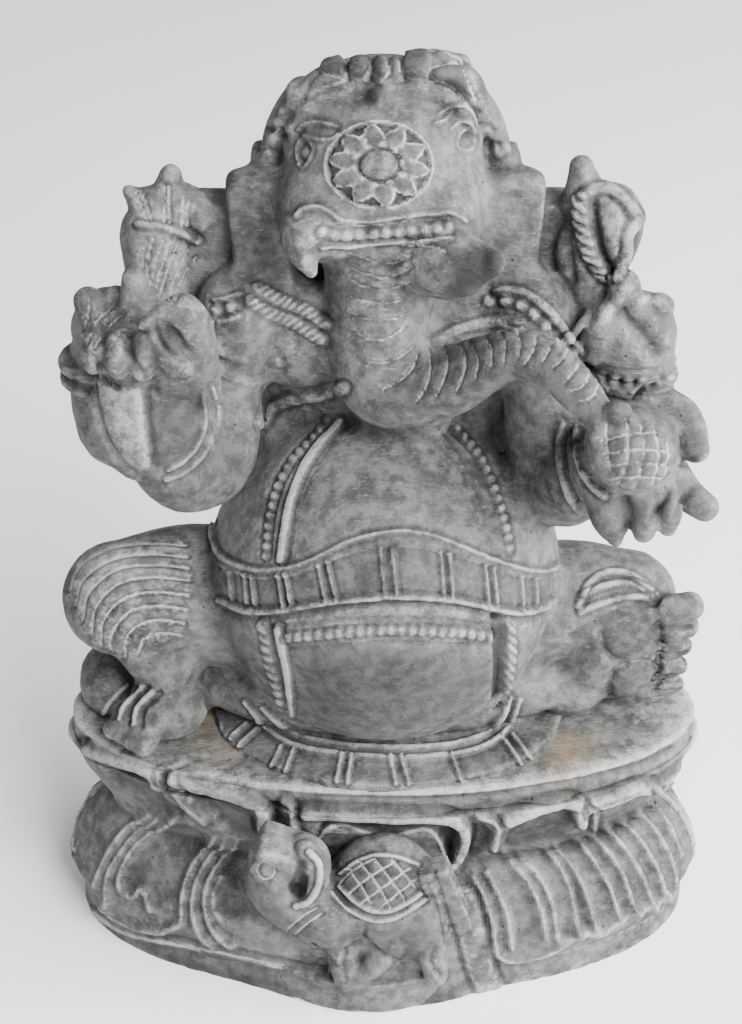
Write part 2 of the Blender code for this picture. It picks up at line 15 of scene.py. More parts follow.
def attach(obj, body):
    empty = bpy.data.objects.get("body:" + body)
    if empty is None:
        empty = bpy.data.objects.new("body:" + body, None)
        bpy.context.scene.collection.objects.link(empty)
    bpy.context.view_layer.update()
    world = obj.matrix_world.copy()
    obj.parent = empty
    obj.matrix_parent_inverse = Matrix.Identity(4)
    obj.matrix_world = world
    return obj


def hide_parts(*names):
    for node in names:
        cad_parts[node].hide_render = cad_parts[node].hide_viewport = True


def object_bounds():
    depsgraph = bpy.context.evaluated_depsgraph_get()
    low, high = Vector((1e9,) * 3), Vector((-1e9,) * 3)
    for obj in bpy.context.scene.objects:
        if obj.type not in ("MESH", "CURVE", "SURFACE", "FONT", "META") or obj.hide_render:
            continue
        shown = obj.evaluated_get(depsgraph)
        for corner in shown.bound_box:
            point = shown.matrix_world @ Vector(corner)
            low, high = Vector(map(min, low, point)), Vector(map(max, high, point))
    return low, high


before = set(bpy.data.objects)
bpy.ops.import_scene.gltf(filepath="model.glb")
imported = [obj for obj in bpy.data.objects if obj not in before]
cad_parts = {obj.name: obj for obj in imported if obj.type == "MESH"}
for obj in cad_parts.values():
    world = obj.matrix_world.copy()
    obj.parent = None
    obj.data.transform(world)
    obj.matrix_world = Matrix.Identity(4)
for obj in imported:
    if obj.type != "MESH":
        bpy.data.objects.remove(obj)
CAD_LOW, CAD_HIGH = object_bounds()

bl_info = {
    "name": "Carved stone Ganesha",
    "version": (1, 0, 0),
    "blender": (4, 5, 0),
    "location": "3D View > Sidebar > Statue",
    "description": "Carves a seated Ganesha on a lotus pedestal and sets it on a pale stage",
    "category": "Add Mesh",
}

NODE = "ganesha_statue"
MM = 0.001
LEFT, RIGHT = -1, 1
FIGURE_SEED, PEDESTAL_SEED, MOUSE_SEED = 11, 23, 37
PEDESTAL_TOP = 0.060

# The photograph's camera, in millimetres and pixels
PICTURE = (742, 1024)
EYE = np.array((-3.0, -339.8, 366.9))
LOOK_DOWN = radians(36)
FOCAL_PIXELS = 1900.0
NEAREST_DEPTH = 370.0

# What the camera sees: cells of its depth map in pixels, and the flattest angle that still counts
CELL_PIXELS = 3.0
GRAZING = 0.08

# Strokes on the head, each a row of photograph pixels
FOREHEAD_EDGE = ((288, 120), (294, 106), (308, 95), (328, 87), (350, 81), (385, 81), (420, 80), (446, 85),
                 (462, 96), (473, 108), (480, 122))
LOCK_CUTS = (((300, 104), (306, 90), (314, 78), (321, 74), (334, 76), (346, 80)),
             ((318, 70), (322, 62), (330, 58), (343, 57), (347, 66), (346, 79)),
             ((348, 58), (366, 57), (371, 66), (364, 79)), ((372, 57), (371, 70), (366, 80)),
             ((386, 58), (389, 70), (386, 80)), ((402, 54), (399, 66), (402, 79)),
             ((428, 80), (429, 70), (434, 66), (446, 64), (458, 64), (464, 70), (470, 86), (478, 101)),
             ((426, 84), (442, 84), (454, 90), (463, 99), (472, 112)), ((434, 50), (446, 55), (463, 61)))
LOCK_PLATES = (((304, 101), (309, 89), (316, 80), (323, 76), (334, 78), (345, 81), (330, 87), (315, 93)),
               ((319, 70), (325, 62), (332, 58), (343, 58), (346, 68), (344, 78), (334, 75), (323, 72)),
               ((350, 58), (360, 57), (368, 59), (370, 68), (363, 78), (351, 78), (349, 68)),
               ((374, 58), (384, 58), (387, 68), (385, 79), (372, 79), (373, 68)),
               ((390, 59), (399, 59), (400, 77), (390, 78)),
               ((405, 55), (418, 52), (430, 54), (427, 66), (426, 77), (405, 77)),
               ((433, 71), (442, 67), (455, 66), (462, 71), (467, 85), (473, 98), (462, 91), (450, 83),
                (436, 79)), ((438, 50), (450, 53), (462, 60), (456, 63), (444, 60), (434, 57)))
SIDE_LOCK_CUTS = (((266, 128), (276, 131), (283, 137)), ((260, 148), (270, 151), (277, 156)),
                  ((285, 112), (280, 124), (278, 140), (276, 160)), ((483, 128), (490, 126), (495, 130)),
                  ((488, 146), (496, 145), (502, 150)), ((481, 112), (485, 126), (488, 146), (490, 165)))
BROWS = (((297, 130), (303, 124), (318, 122), (336, 126)), ((301, 134), (312, 138), (328, 139), (338, 134)),
         ((440, 113), (450, 108), (462, 107), (473, 114), (480, 128)), ((436, 122), (446, 119), (452, 112)),
         ((452, 128), (460, 122), (470, 124), (476, 134)))
BROW_FIELDS = (((300, 129), (316, 124), (334, 128), (330, 136), (312, 136)),
               ((444, 119), (456, 110), (470, 114), (477, 128), (468, 122), (456, 124)))
EYES = (((299, 137), (306, 140), (311, 148), (308, 158), (301, 167), (296, 158), (296, 146), (299, 137)),
        ((461, 134), (468, 130), (474, 137), (475, 146), (467, 150), (459, 145), (461, 134)))
PUPILS = ((302, 152), (467, 141))
ROSETTE_CENTRE = (379, 165)
ROSETTE_HALF = (53, 43)
ROSETTE_PETALS = 10
BAND_TOP = ((295, 216), (303, 208), (318, 207), (331, 213), (342, 220), (370, 222), (398, 218), (430, 214),
            (452, 213), (466, 221))
BAND_BEADS = ((322, 232), (338, 236), (360, 236), (385, 234), (410, 232), (430, 229), (448, 227))
BAND_FOOT = ((322, 248), (345, 248), (380, 245), (412, 242), (438, 239), (450, 237))
BAND_LINE = ((334, 222), (360, 226), (390, 224), (420, 220), (450, 218))
TRUNK_EDGES = (((327, 252), (350, 248), (390, 247), (430, 245), (446, 252)),)
TUSK_DARK = ((452, 252), (470, 246), (492, 248), (504, 258), (500, 276), (480, 288), (450, 296))
TUSK_PALE = ((296, 246), (310, 240), (322, 240), (322, 262), (313, 274), (304, 262))
DROP = ((369, 92), (375, 84), (383, 82), (384, 92), (377, 102), (371, 101))
TRUNK_RINGS = (((350, 255), (370, 262), (385, 265), (398, 262), (410, 255)),
               ((350, 269), (370, 276), (385, 278), (400, 274), (411, 267)),
               ((350, 281), (365, 288), (382, 290), (397, 288), (409, 283)),
               ((346, 296), (368, 303), (390, 304), (406, 299)),
               ((350, 314), (370, 321), (390, 321), (404, 316)),
               ((353, 333), (372, 341), (390, 338), (405, 328)),
               ((362, 362), (384, 364), (401, 357), (413, 348)),
               ((381, 390), (399, 381), (412, 368), (418, 352)),
               ((416, 403), (425, 388), (430, 370), (428, 348)),
               ((435, 397), (443, 381), (447, 362), (443, 344)),
               ((456, 393), (463, 373), (464, 355), (459, 344)), ((475, 380), (477, 360), (470, 343)),
               ((490, 367), (491, 350), (485, 336)), ((503, 362), (505, 345), (500, 333)),
               ((518, 358), (520, 342), (516, 328)), ((524, 364), (533, 350), (536, 334)),
               ((541, 362), (549, 349), (552, 338)), ((552, 368), (562, 359), (568, 349)),
               ((564, 382), (573, 373), (580, 363)), ((570, 391), (582, 387), (590, 375)),
               ((578, 402), (592, 397), (600, 384)))

# Strokes on the belly
SASHES = (((326, 421), (306, 443), (289, 463), (276, 487), (269, 512), (266, 535), (265, 556)),
          ((458, 428), (476, 448), (490, 474), (501, 504), (508, 532), (511, 552)))
SASH_FILLETS = (((340, 421), (320, 443), (302, 470), (290, 500), (284, 530), (280, 560)),
                ((440, 422), (458, 441), (472, 465), (484, 495), (492, 525), (497, 550)))
PANEL_EDGES = (((350, 423), (328, 448), (310, 476), (298, 505), (291, 535), (288, 560)),
               ((430, 421), (448, 445), (464, 474), (476, 505), (486, 540), (489, 556)))
BELT_TOP = ((212, 520), (212, 540), (222, 557), (243, 567), (265, 570), (290, 567), (310, 560), (330, 550),
            (355, 539), (385, 532), (410, 531), (440, 538), (465, 548), (495, 560), (525, 569), (545, 571),
            (557, 566))
BELT_TOP_LINE = ((218, 566), (240, 576), (264, 579), (290, 576), (315, 568), (345, 555), (385, 547),
                 (420, 548), (460, 557), (495, 569), (530, 579), (556, 577))
BELT_FOOT = ((218, 600), (238, 609), (262, 612), (290, 609), (320, 604), (350, 601), (385, 598), (420, 598),
             (455, 601), (490, 608), (520, 613), (543, 609), (556, 600))
BELT_FOOT_LINE = ((222, 610), (245, 619), (280, 618), (310, 613), (340, 608), (380, 604), (420, 604),
                  (460, 608), (490, 615), (505, 620), (530, 620), (552, 612))
BOX_POSTS = ((228, 572, 230, 600), (243, 575, 245, 604), (250, 576, 253, 605), (277, 575, 281, 606),
             (284, 574, 289, 605), (317, 566, 324, 601), (326, 562, 335, 600), (380, 549, 385, 597),
             (392, 549, 397, 597), (441, 553, 445, 597), (450, 555, 454, 598), (486, 566, 490, 604),
             (495, 569, 499, 606), (523, 577, 525, 610), (537, 578, 539, 609))
HEM_LINES = (((268, 627), (300, 624), (340, 620), (390, 618), (440, 620), (492, 627)),
             ((286, 649), (320, 646), (360, 644), (410, 643), (450, 645), (492, 648)))
HEM_BEADS = ((287, 638), (310, 636), (340, 633), (380, 631), (420, 631), (455, 633), (491, 637))
STRIPS = (((262, 624), (267, 650), (272, 672), (278, 692), (283, 710)),
          ((511, 624), (511, 650), (509, 675), (505, 700)))
STRIP_FILLETS = (((277, 628), (283, 655), (288, 680), (290, 700), (291, 716)),
                 ((498, 620), (499, 650), (499, 680), (497, 706)))
NAVEL = (387, 706)
# Painted shade on the apron, which faces down
APRON_SHADE = ((300, 655), (340, 650), (390, 648), (440, 650), (488, 655), (488, 690), (460, 722), (390, 732),
         (320, 724), (296, 700))

# Strokes on the chest, the shoulders and the arms
CHEST_RINGS = (((285, 345), 12), ((277, 367), 7))
NECKLACE = (((258, 288), (280, 300), (303, 309), (325, 324)),
            ((250, 300), (270, 313), (295, 324), (322, 340)))
SCARF = ((438, 341), (455, 331), (478, 324), (500, 322), (520, 325))
SHOULDER_BAND = ((496, 291), (515, 291), (534, 299), (551, 314), (566, 334), (580, 352))
SHOULDER_BEADS = ((488, 301), (508, 301), (526, 308), (541, 322), (556, 340), (568, 356))
ARMLET = ((214, 310), (226, 308), (238, 303))
ARMLET_LINES = (((213, 300), (226, 298), (238, 293)), ((214, 322), (226, 321), (239, 316)))
BREAST_FOLD = ((262, 424), (272, 408), (292, 400), (318, 396), (342, 388))

# Strokes on the viewer's left hands and the bundle
PALM_CREASE = ((146, 388), (147, 408), (149, 430), (152, 450), (154, 466))
PALM_EDGE = ((94, 386), (98, 412), (108, 440), (124, 464), (144, 480), (162, 487))
# Painted highlight on the lit side of the raised palm
PALM_HIGHLIGHT = ((100, 382), (118, 388), (141, 390), (144, 412), (147, 440), (151, 464), (136, 460), (116, 436),
             (104, 410))
# Painted shade on the palm's other side, which is also darker stone
PALM_DARK = ((158, 394), (186, 382), (202, 376), (208, 402), (204, 428), (194, 448), (176, 464), (160, 468),
             (155, 440), (152, 414))
# Painted shade on a shaded facet by the thumb
THUMB_FACET_SHADE = ((158, 326), (168, 330), (180, 346), (182, 356), (172, 356), (160, 344))
FINGER_GAPS = (((99, 364), (105, 376), (117, 386)), ((128, 346), (134, 364), (146, 380), (156, 390)),
               ((154, 324), (158, 338), (170, 352), (184, 359)), ((160, 322), (176, 334), (186, 350)))
LEFT_BANGLES = (((203, 398), (206, 420), (200, 442), (186, 460), (168, 470)),
                ((213, 388), (219, 412), (214, 436), (202, 458), (186, 472), (166, 480)))
FIST_LINES = (((84, 345), (97, 322), (115, 303)), ((94, 348), (108, 328), (126, 310)),
              ((106, 348), (120, 332), (134, 322)), ((82, 330), (88, 312), (90, 298)))
BUNDLE_WAIST = ((138, 224), (158, 226), (178, 232), (198, 242))
BUNDLE_FLUTES = (((134, 190), (140, 206), (147, 221)), ((140, 186), (145, 202), (152, 221)),
                 ((163, 186), (163, 204), (165, 221)), ((169, 186), (169, 204), (171, 223)),
                 ((184, 196), (182, 212), (184, 228)), ((190, 200), (187, 214), (190, 230)))
BUNDLE_DARK = ((188, 222), (196, 212), (200, 224), (198, 238), (190, 236))
STEM_FLUTES = (((146, 238), (142, 254), (142, 270)), ((153, 238), (148, 258), (146, 280)),
               ((164, 240), (156, 262), (150, 286)), ((172, 240), (163, 266), (155, 292)),
               ((180, 243), (170, 268), (160, 296)), ((190, 250), (180, 272), (168, 298)),
               ((196, 258), (184, 280), (174, 300)))
REAR_LEFT_BANGLES = (((62, 362), (74, 366), (86, 364)), ((63, 376), (75, 381), (88, 379)))

# Strokes on the viewer's right hands, the noose and the sweet
NOOSE_ROPE = ((579, 200), (581, 220), (585, 240), (592, 258), (604, 276))
NOOSE_RIM = ((584, 194), (600, 187), (616, 192), (630, 206), (637, 220), (628, 234), (626, 256),
             (616, 276))
NOOSE_HOLE = ((593, 204), (597, 200), (600, 222), (604, 244), (613, 268), (611, 274), (600, 254),
              (594, 228))
NOOSE_LEAF = ((606, 206), (616, 202), (622, 214), (622, 236), (617, 256), (609, 240), (604, 220))
NOOSE_BACK = ((566, 200), (566, 225), (569, 250), (573, 280))
HAND_HOLLOW = ((623, 314), (634, 326), (645, 338), (656, 350))
REAR_RIGHT_LINES = (((600, 366), (630, 371), (655, 370), (674, 366)),
                    ((604, 391), (632, 394), (658, 392), (672, 388)))
REAR_RIGHT_BEADS = ((600, 376), (622, 382), (648, 382), (672, 377))
SWEET_LINES = (((608, 424), (606, 445), (609, 472)), ((626, 420), (628, 440), (626, 465), (618, 486)),
               ((641, 424), (644, 445), (642, 468), (636, 488)),
               ((655, 428), (659, 446), (659, 466), (652, 488)), ((668, 444), (670, 456), (667, 476)),
               ((600, 442), (628, 434), (658, 431)), ((602, 455), (634, 450), (668, 452)),
               ((606, 468), (636, 464), (668, 466)), ((612, 481), (636, 479), (664, 480)))
TRUNK_DARK = ((420, 352), (470, 338), (540, 330), (590, 366), (634, 402), (620, 440), (590, 420),
              (560, 396), (520, 372), (470, 392), (430, 408), (400, 414), (360, 404), (384, 392))
# Painted shade over the fingers under the sweet
FINGER_SHADE = ((590, 500), (640, 492), (690, 480), (712, 492), (706, 520), (660, 526), (628, 540),
             (604, 540))
THUMB_SHADE = ((664, 404), (690, 410), (704, 440), (698, 462), (676, 462), (672, 436))
KNUCKLE_RIDGES = (((600, 332), (606, 314), (618, 300), (625, 288)), ((640, 300), (652, 302), (664, 306)))
# Painted shade on the left ear, the left forearm, the left shoulder, the right sole, the seat cloth and the
# left flank, each with its strength
SHADES = ((((228, 180), (262, 168), (276, 230), (270, 290), (230, 290)), 0.35),
          (((165, 474), (236, 420), (246, 466), (225, 494), (184, 497)), 0.4),
          (((198, 325), (240, 325), (248, 370), (218, 374)), 0.35),
          (((598, 628), (650, 615), (658, 700), (612, 705)), 0.25),
          (((206, 698), (264, 768), (345, 785), (435, 787), (518, 771), (562, 728), (511, 698), (474, 738),
            (382, 747), (290, 731), (262, 708)), 0.25),
          (((212, 560), (250, 625), (262, 700), (232, 690), (206, 620)), 0.3))
SWEET_DARK = ((606, 428), (640, 424), (664, 434), (669, 458), (660, 484), (630, 488), (608, 474))
RIGHT_FINGER_GAPS = (((626, 498), (627, 512), (627, 526)), ((668, 492), (658, 506), (650, 520)),
                     ((690, 490), (682, 504), (674, 518)), ((676, 464), (688, 463), (700, 456)))
# Painted shade in the gaps between those fingers
FINGER_GAP_SHADE = (((629, 502), (645, 500), (650, 508), (646, 524), (630, 526)),
             ((656, 508), (668, 494), (672, 506), (668, 522), (656, 521)))
RIGHT_BANGLES = (((562, 424), (559, 445), (561, 470), (570, 496), (580, 512)),
                 ((577, 426), (577, 446), (582, 468), (592, 486), (604, 497)))

# Strokes on the legs
KNEE_FLUTES = (((186, 543), (150, 540), (118, 543), (92, 553), (73, 570), (66, 590)),
               ((188, 555), (150, 551), (118, 555), (95, 566), (78, 583), (72, 606)),
               ((189, 567), (152, 563), (122, 566), (101, 578), (85, 597), (80, 622)),
               ((190, 580), (155, 576), (126, 580), (107, 592), (93, 611), (90, 637)),
               ((190, 596), (157, 592), (131, 596), (113, 608), (101, 626), (100, 648)),
               ((188, 611), (158, 607), (134, 611), (119, 624), (110, 641), (112, 656)),
               ((185, 625), (158, 622), (138, 628), (127, 641), (124, 659)),
               ((182, 638), (160, 636), (145, 642), (138, 654)))
CUFF_CUTS = (((131, 640), (134, 652)), ((140, 638), (146, 650)), ((150, 636), (156, 646)))
LEFT_TOE_GAPS = (((136, 686), (118, 702), (112, 716)), ((147, 688), (130, 706), (128, 722)),
                 ((160, 694), (144, 708), (140, 726)))
LEFT_TOE_TOPS = (((127, 686), (112, 700), (104, 712)), ((142, 686), (124, 704), (119, 718)),
                 ((152, 692), (137, 707), (133, 724)))
THIGH_FOLDS = (((578, 606), (588, 584), (606, 572), (630, 574), (652, 588)),
               ((584, 594), (606, 585), (632, 583), (656, 594)),
               ((580, 612), (602, 603), (626, 597), (652, 598)))
SOLE_TOP = ((573, 638), (588, 628), (606, 619), (630, 609), (655, 600))
SOLE_CUTS = (((600, 634), (604, 648), (613, 659), (626, 664), (648, 663), (660, 669)),
             ((611, 700), (610, 685), (615, 672), (626, 667)),
             ((655, 606), (659, 630), (661, 655), (656, 682), (655, 702)))
TOE_GAPS = (((655, 630), (675, 630), (692, 627)), ((658, 656), (676, 657), (693, 654)),
            ((656, 679), (675, 678), (691, 675)), ((655, 693), (672, 693), (687, 691)))

# Strokes on the seat cloth and the pedestal
CLOTH_EDGE = ((206, 698), (218, 724), (238, 748), (264, 766), (300, 777), (345, 784), (390, 787),
              (435, 786), (480, 781), (518, 770), (544, 753), (562, 728))
CLOTH_FOLDS = (((244, 702), (264, 726), (292, 744), (335, 753), (382, 757), (430, 756), (478, 748),
                (506, 730), (520, 700)),
               ((262, 708), (290, 731), (332, 743), (382, 747), (430, 746), (474, 738), (500, 720),
                (511, 698)))
CLOTH_POSTS = ((229, 738, 250, 720), (237, 746, 258, 728), (270, 767, 281, 745), (284, 772, 293, 749),
               (336, 782, 341, 756), (347, 783, 351, 757), (390, 757, 396, 785), (401, 757, 409, 785),
               (452, 755, 462, 783), (503, 738, 522, 766), (511, 733, 531, 759))
SADDLE_RIMS = (((331, 892), (346, 908), (365, 918), (386, 920), (406, 912), (426, 899)),
               ((338, 886), (352, 900), (370, 910), (389, 911), (408, 902), (421, 893)),
               ((340, 873), (355, 862), (375, 855), (397, 857), (417, 864)))
SADDLE_HATCH = (((338, 884), (352, 871), (372, 860)), ((348, 895), (370, 878), (396, 862)),
                ((362, 904), (386, 887), (410, 869)), ((382, 908), (402, 892), (417, 880)),
                ((345, 867), (358, 884), (372, 906)), ((358, 862), (376, 884), (390, 908)),
                ((374, 859), (390, 880), (405, 900)), ((392, 860), (404, 874), (416, 889)))
SADDLE_DARK = ((342, 884), (356, 866), (378, 858), (402, 862), (420, 884), (404, 902), (378, 908),
               (354, 898))
# Painted shade under the mouse's chest and belly
MOUSE_CHEST_SHADE = ((242, 876), (256, 884), (280, 904), (300, 922), (330, 936), (330, 950), (296, 944),
               (272, 932), (256, 912))
MOUSE_BELLY_SHADE = ((330, 925), (360, 930), (420, 920), (436, 930), (434, 956), (400, 960), (364, 940),
               (340, 945))
MOUSE_BROW = ((249, 834), (270, 836), (289, 843), (292, 857), (274, 866), (253, 854), (244, 843))
MOUSE_CHEEK = ((239, 861), (260, 880), (289, 907), (276, 921), (253, 900), (240, 882))
MOUSE_EYE = (266, 871)
MOUSE_MUZZLE = ((297, 858), (295, 872), (289, 888), (296, 899), (304, 896), (306, 880), (305, 862))
MOUSE_BAND = ((309, 852), (319, 864), (318, 886), (308, 902), (296, 906))
MOUSE_SHOULDER = (((318, 908), (302, 918), (286, 932)), ((322, 914), (306, 926), (292, 938)))
STRAP_EDGES = (((434, 872), (442, 900), (452, 930), (464, 962), (482, 990)),
               ((452, 876), (466, 898), (474, 920), (479, 945), (477, 968), (486, 986)),
               ((426, 886), (438, 912), (444, 940), (452, 966), (474, 996)))
MOUSE_LEGS = (((312, 946), (326, 958), (340, 974)), ((346, 952), (343, 964), (345, 978)),
              ((365, 925), (362, 940), (346, 952)), ((364, 940), (384, 956), (400, 962)),
              ((436, 948), (430, 962), (440, 975)))

# Strokes on the rising petals under the slab
UPPER_LIPS = (((90, 748), (112, 757), (138, 765), (154, 773), (158, 784)),
              ((175, 777), (200, 786), (232, 794), (254, 802), (264, 813), (262, 829)),
              ((306, 812), (340, 813), (390, 816), (436, 816), (456, 821), (465, 834), (461, 850),
               (452, 866)), ((508, 819), (524, 812), (548, 804), (568, 801), (580, 806), (581, 820)),
              ((592, 803), (612, 797), (634, 788), (650, 787)), ((658, 786), (672, 778), (684, 768)))
UPPER_RIDGES = (((160, 769), (168, 784), (184, 804), (205, 822)),
                ((171, 774), (179, 787), (194, 803), (214, 820)),
                ((283, 800), (291, 806), (292, 822), (298, 836), (309, 848)),
                ((478, 817), (492, 820), (498, 829), (494, 848)), ((586, 808), (594, 813), (593, 827)))
# Sunk panels under the petal lips, which get painted shade
UPPER_HOLLOWS = (((104, 767), (130, 773), (148, 784), (166, 802), (184, 816), (165, 814), (135, 797),
                  (112, 780)),
                 ((184, 789), (206, 795), (236, 804), (251, 816), (258, 838), (240, 836), (214, 823),
                  (196, 807)),
                 ((322, 822), (390, 825), (440, 825), (456, 832), (454, 848), (449, 862), (441, 842),
                  (422, 834), (384, 841), (354, 833), (330, 828), (318, 836)),
                 ((512, 828), (545, 814), (568, 811), (572, 824), (556, 838), (520, 850), (504, 848)),
                 ((270, 804), (279, 806), (284, 824), (297, 842), (286, 839), (272, 826)),
                 ((471, 826), (484, 826), (490, 836), (484, 852), (467, 858), (471, 842)))
UPPER_LINES = (((316, 857), (318, 840), (328, 829), (344, 828), (362, 834), (384, 840), (404, 836),
                (424, 832), (437, 838), (444, 852), (447, 866)),)

SLAB_DUST = (((196, 706), (208, 716), (222, 732), (236, 746), (228, 750), (208, 738), (198, 724)),
             ((556, 768), (560, 748), (566, 734), (580, 736), (584, 748), (572, 766), (560, 772)))

# Strokes on the hanging petals round the foot
LOWER_RIDGES = (((150, 812), (130, 828), (115, 846), (104, 866), (96, 884)),
                ((158, 816), (142, 830), (126, 848), (113, 868), (108, 886), (109, 902)),
                ((172, 820), (150, 835), (134, 851), (124, 868), (121, 882), (126, 892), (136, 895),
                 (142, 889), (148, 896), (152, 908)),
                ((104, 904), (118, 918), (140, 927), (162, 929), (180, 924)),
                ((214, 838), (200, 856), (189, 876), (184, 896), (183, 918)),
                ((224, 843), (210, 858), (199, 878), (194, 900), (195, 918), (202, 934), (212, 944)),
                ((236, 844), (222, 860), (210, 880), (206, 900), (210, 920), (220, 936), (232, 946)),
                ((222, 876), (215, 894), (216, 910), (226, 922)),
                ((472, 876), (484, 898), (491, 920), (494, 948)),
                ((486, 872), (497, 892), (506, 914), (511, 946)),
                ((508, 860), (526, 880), (538, 905), (545, 936)),
                ((520, 858), (540, 880), (551, 905), (556, 936)),
                ((546, 850), (562, 872), (571, 896), (576, 930)),
                ((555, 848), (574, 872), (586, 898), (594, 926)),
                ((578, 842), (597, 868), (609, 890), (617, 916)),
                ((592, 836), (612, 860), (624, 882), (631, 908)),
                ((606, 828), (627, 854), (641, 878), (650, 904)),
                ((621, 821), (642, 846), (656, 872), (663, 896)),
                ((636, 812), (656, 836), (669, 862), (673, 884)), ((650, 803), (666, 826), (678, 854)))
LOWER_SCALLOPS = (((492, 946), (506, 958), (530, 957), (556, 946), (577, 932)),
                  ((580, 930), (600, 931), (618, 918), (634, 908)), ((634, 910), (650, 904), (664, 894)))
# Sunk leaf interiors, which get painted shade
LOWER_LEAVES = (((127, 880), (130, 866), (140, 851), (156, 837), (176, 824), (206, 840), (190, 860),
                 (178, 884), (170, 898), (156, 902), (150, 892), (141, 885), (132, 889)),
                ((512, 872), (530, 900), (536, 936), (516, 950), (514, 920), (500, 884)),
                ((562, 856), (580, 880), (592, 908), (588, 926), (578, 920), (566, 884)),
                ((216, 880), (226, 862), (238, 848), (240, 880), (246, 906), (232, 918), (220, 906)))
FOOT_RIM = ((92, 912), (130, 934), (180, 944), (230, 954), (280, 966), (330, 975), (390, 979), (440, 975))
FOOT_EDGE = ((495, 966), (540, 960), (590, 946), (640, 926), (670, 908))
# Painted shade on the fascia under the slab's rim
FASCIA_SHADE = (((90, 752), (150, 772), (250, 792), (350, 802), (450, 803), (550, 790), (610, 778),
                (610, 790), (550, 801), (450, 813), (350, 812), (250, 803), (150, 783)),
               ((470, 862), (500, 852), (560, 836), (610, 812), (655, 796), (668, 806), (640, 824),
                (590, 846), (520, 862)))
STRAP_FOOT = ((462, 900), (470, 926), (475, 950), (484, 978), (494, 1000))
# Painted shade on the plinth's front
PLINTH_SHADE = ((100, 925), (200, 962), (330, 985), (440, 990), (440, 1005), (330, 1000), (200, 975))
# Cut lines along the slab's front, which get painted shade
SLAB_LINES = (((80, 738), (110, 752), (150, 764), (200, 777), (250, 786), (300, 793), (350, 797),
               (400, 799), (450, 798), (500, 793), (550, 785), (600, 775), (640, 764), (672, 748)),)


def smooth_path(points, steps=6):
    """Points on a smooth curve through the given rows of numbers (position and radius alike)."""
    rows = np.array(points, dtype=float)
    if len(rows) == 2:
        return rows
    ends = np.vstack([2 * rows[0] - rows[1], rows, 2 * rows[-1] - rows[-2]])
    path = []
    for a, b, c, d in zip(ends[:-3], ends[1:-2], ends[2:-1], ends[3:]):
        for t in np.arange(steps) / steps:
            path.append(0.5 * (2 * b + (c - a) * t + (2 * a - 5 * b + 4 * c - d) * t ** 2
                               + (3 * b - a - 3 * c + d) * t ** 3))
    path.append(rows[-1])
    return np.array(path)


class Clay:
    """Closed solids on their way to becoming one skin, in millimetres above a seat."""

    def __init__(self, seat=0.0):
        self.mesh = bmesh.new()
        self.frame = Matrix.Translation((0, 0, seat)) @ Matrix.Scale(MM, 4)
        self.limbs = []

    def ball(self, centre, radii, turn=(0, 0, 0), detail=3):
        """An ellipsoid; turn is in degrees about X, Y and Z."""
        radii = (radii,) * 3 if isinstance(radii, (int, float)) else radii
        spin = Euler([radians(angle) for angle in turn])
        place = Matrix.LocRotScale(Vector(centre), spin, Vector(radii))
        bmesh.ops.create_icosphere(self.mesh, subdivisions=detail, radius=1.0, matrix=self.frame @ place)

    def block(self, centre, size, turn=(0, 0, 0)):
        """A box, whose edges the softening rounds."""
        spin = Euler([radians(angle) for angle in turn])
        place = Matrix.LocRotScale(Vector(centre), spin, Vector(size))
        bmesh.ops.create_cube(self.mesh, size=1.0, matrix=self.frame @ place)

    def disc(self, foot, radii, height):
        """A flat oval plate standing on its foot's centre."""
        place = Matrix.LocRotScale(Vector(foot) + Vector((0, 0, height / 2)), None, Vector((*radii, height)))
        bmesh.ops.create_cone(self.mesh, cap_ends=True, segments=160, radius1=1.0, radius2=1.0, depth=1.0,
                              matrix=self.frame @ place)

    def limb(self, *points, steps=6):
        """A round tube of changing thickness with round ends, through rows of x, y, z, radius."""
        path = smooth_path(points, steps)
        self.limbs.append(path)
        for x, y, z, radius in (path[0], path[-1]):
            self.ball((x, y, z), radius, detail=3)

    def limb_mesh(self):
        """All limbs as one curve object's mesh."""
        curve = bpy.data.curves.new("limbs", "CURVE")
        curve.dimensions = "3D"
        curve.bevel_depth = 1.0
        curve.bevel_resolution = 6
        curve.use_fill_caps = True
        for path in self.limbs:
            spline = curve.splines.new("POLY")
            spline.points.add(len(path) - 1)
            for point, row in zip(spline.points, path):
                point.co = (*(self.frame @ Vector(row[:3])), 1.0)
                point.radius = row[3] * MM
        holder = bpy.data.objects.new("limbs", curve)
        return taken(holder)

    def take(self, other):
        """Add a finished mesh."""
        self.mesh.from_mesh(other)

    def skin(self, name, grain, softening):
        """Merge everything into one closed skin of the given grain in metres, and soften it."""
        if self.limbs:
            self.take(self.limb_mesh())
        mesh = bpy.data.meshes.new(name)
        self.mesh.to_mesh(mesh)
        self.mesh.free()
        holder = bpy.data.objects.new(name, mesh)
        merge = holder.modifiers.new("merge", "REMESH")
        merge.mode = "VOXEL"
        merge.voxel_size = grain
        merge.use_smooth_shade = True
        if softening:
            soften = holder.modifiers.new("soften", "SMOOTH")
            soften.factor = 0.5
            soften.iterations = softening
        return taken(holder)


def taken(holder):
    """The finished mesh of an object, which is then removed."""
    bpy.context.scene.collection.objects.link(holder)
    bpy.context.view_layer.update()
    graph = bpy.context.evaluated_depsgraph_get()
    mesh = bpy.data.meshes.new_from_object(holder.evaluated_get(graph))
    bpy.data.objects.remove(holder)
    return mesh


def noise(points, size, seed):
    """Smooth random lumps of the given size at each point, between -1 and 1."""
    rng = np.random.default_rng(seed)
    grid = rng.uniform(-1, 1, (32, 32, 32))
    cell = np.floor(points / size).astype(int)
    part = points / size - cell
    part = part * part * (3 - 2 * part)
    total = np.zeros(len(points))
    for corner in np.ndindex(2, 2, 2):
        weight = np.prod(np.where(corner, part, 1 - part), axis=1)
        i, j, k = ((cell + corner) % 32).T
        total += weight * grid[i, j, k]
    return total


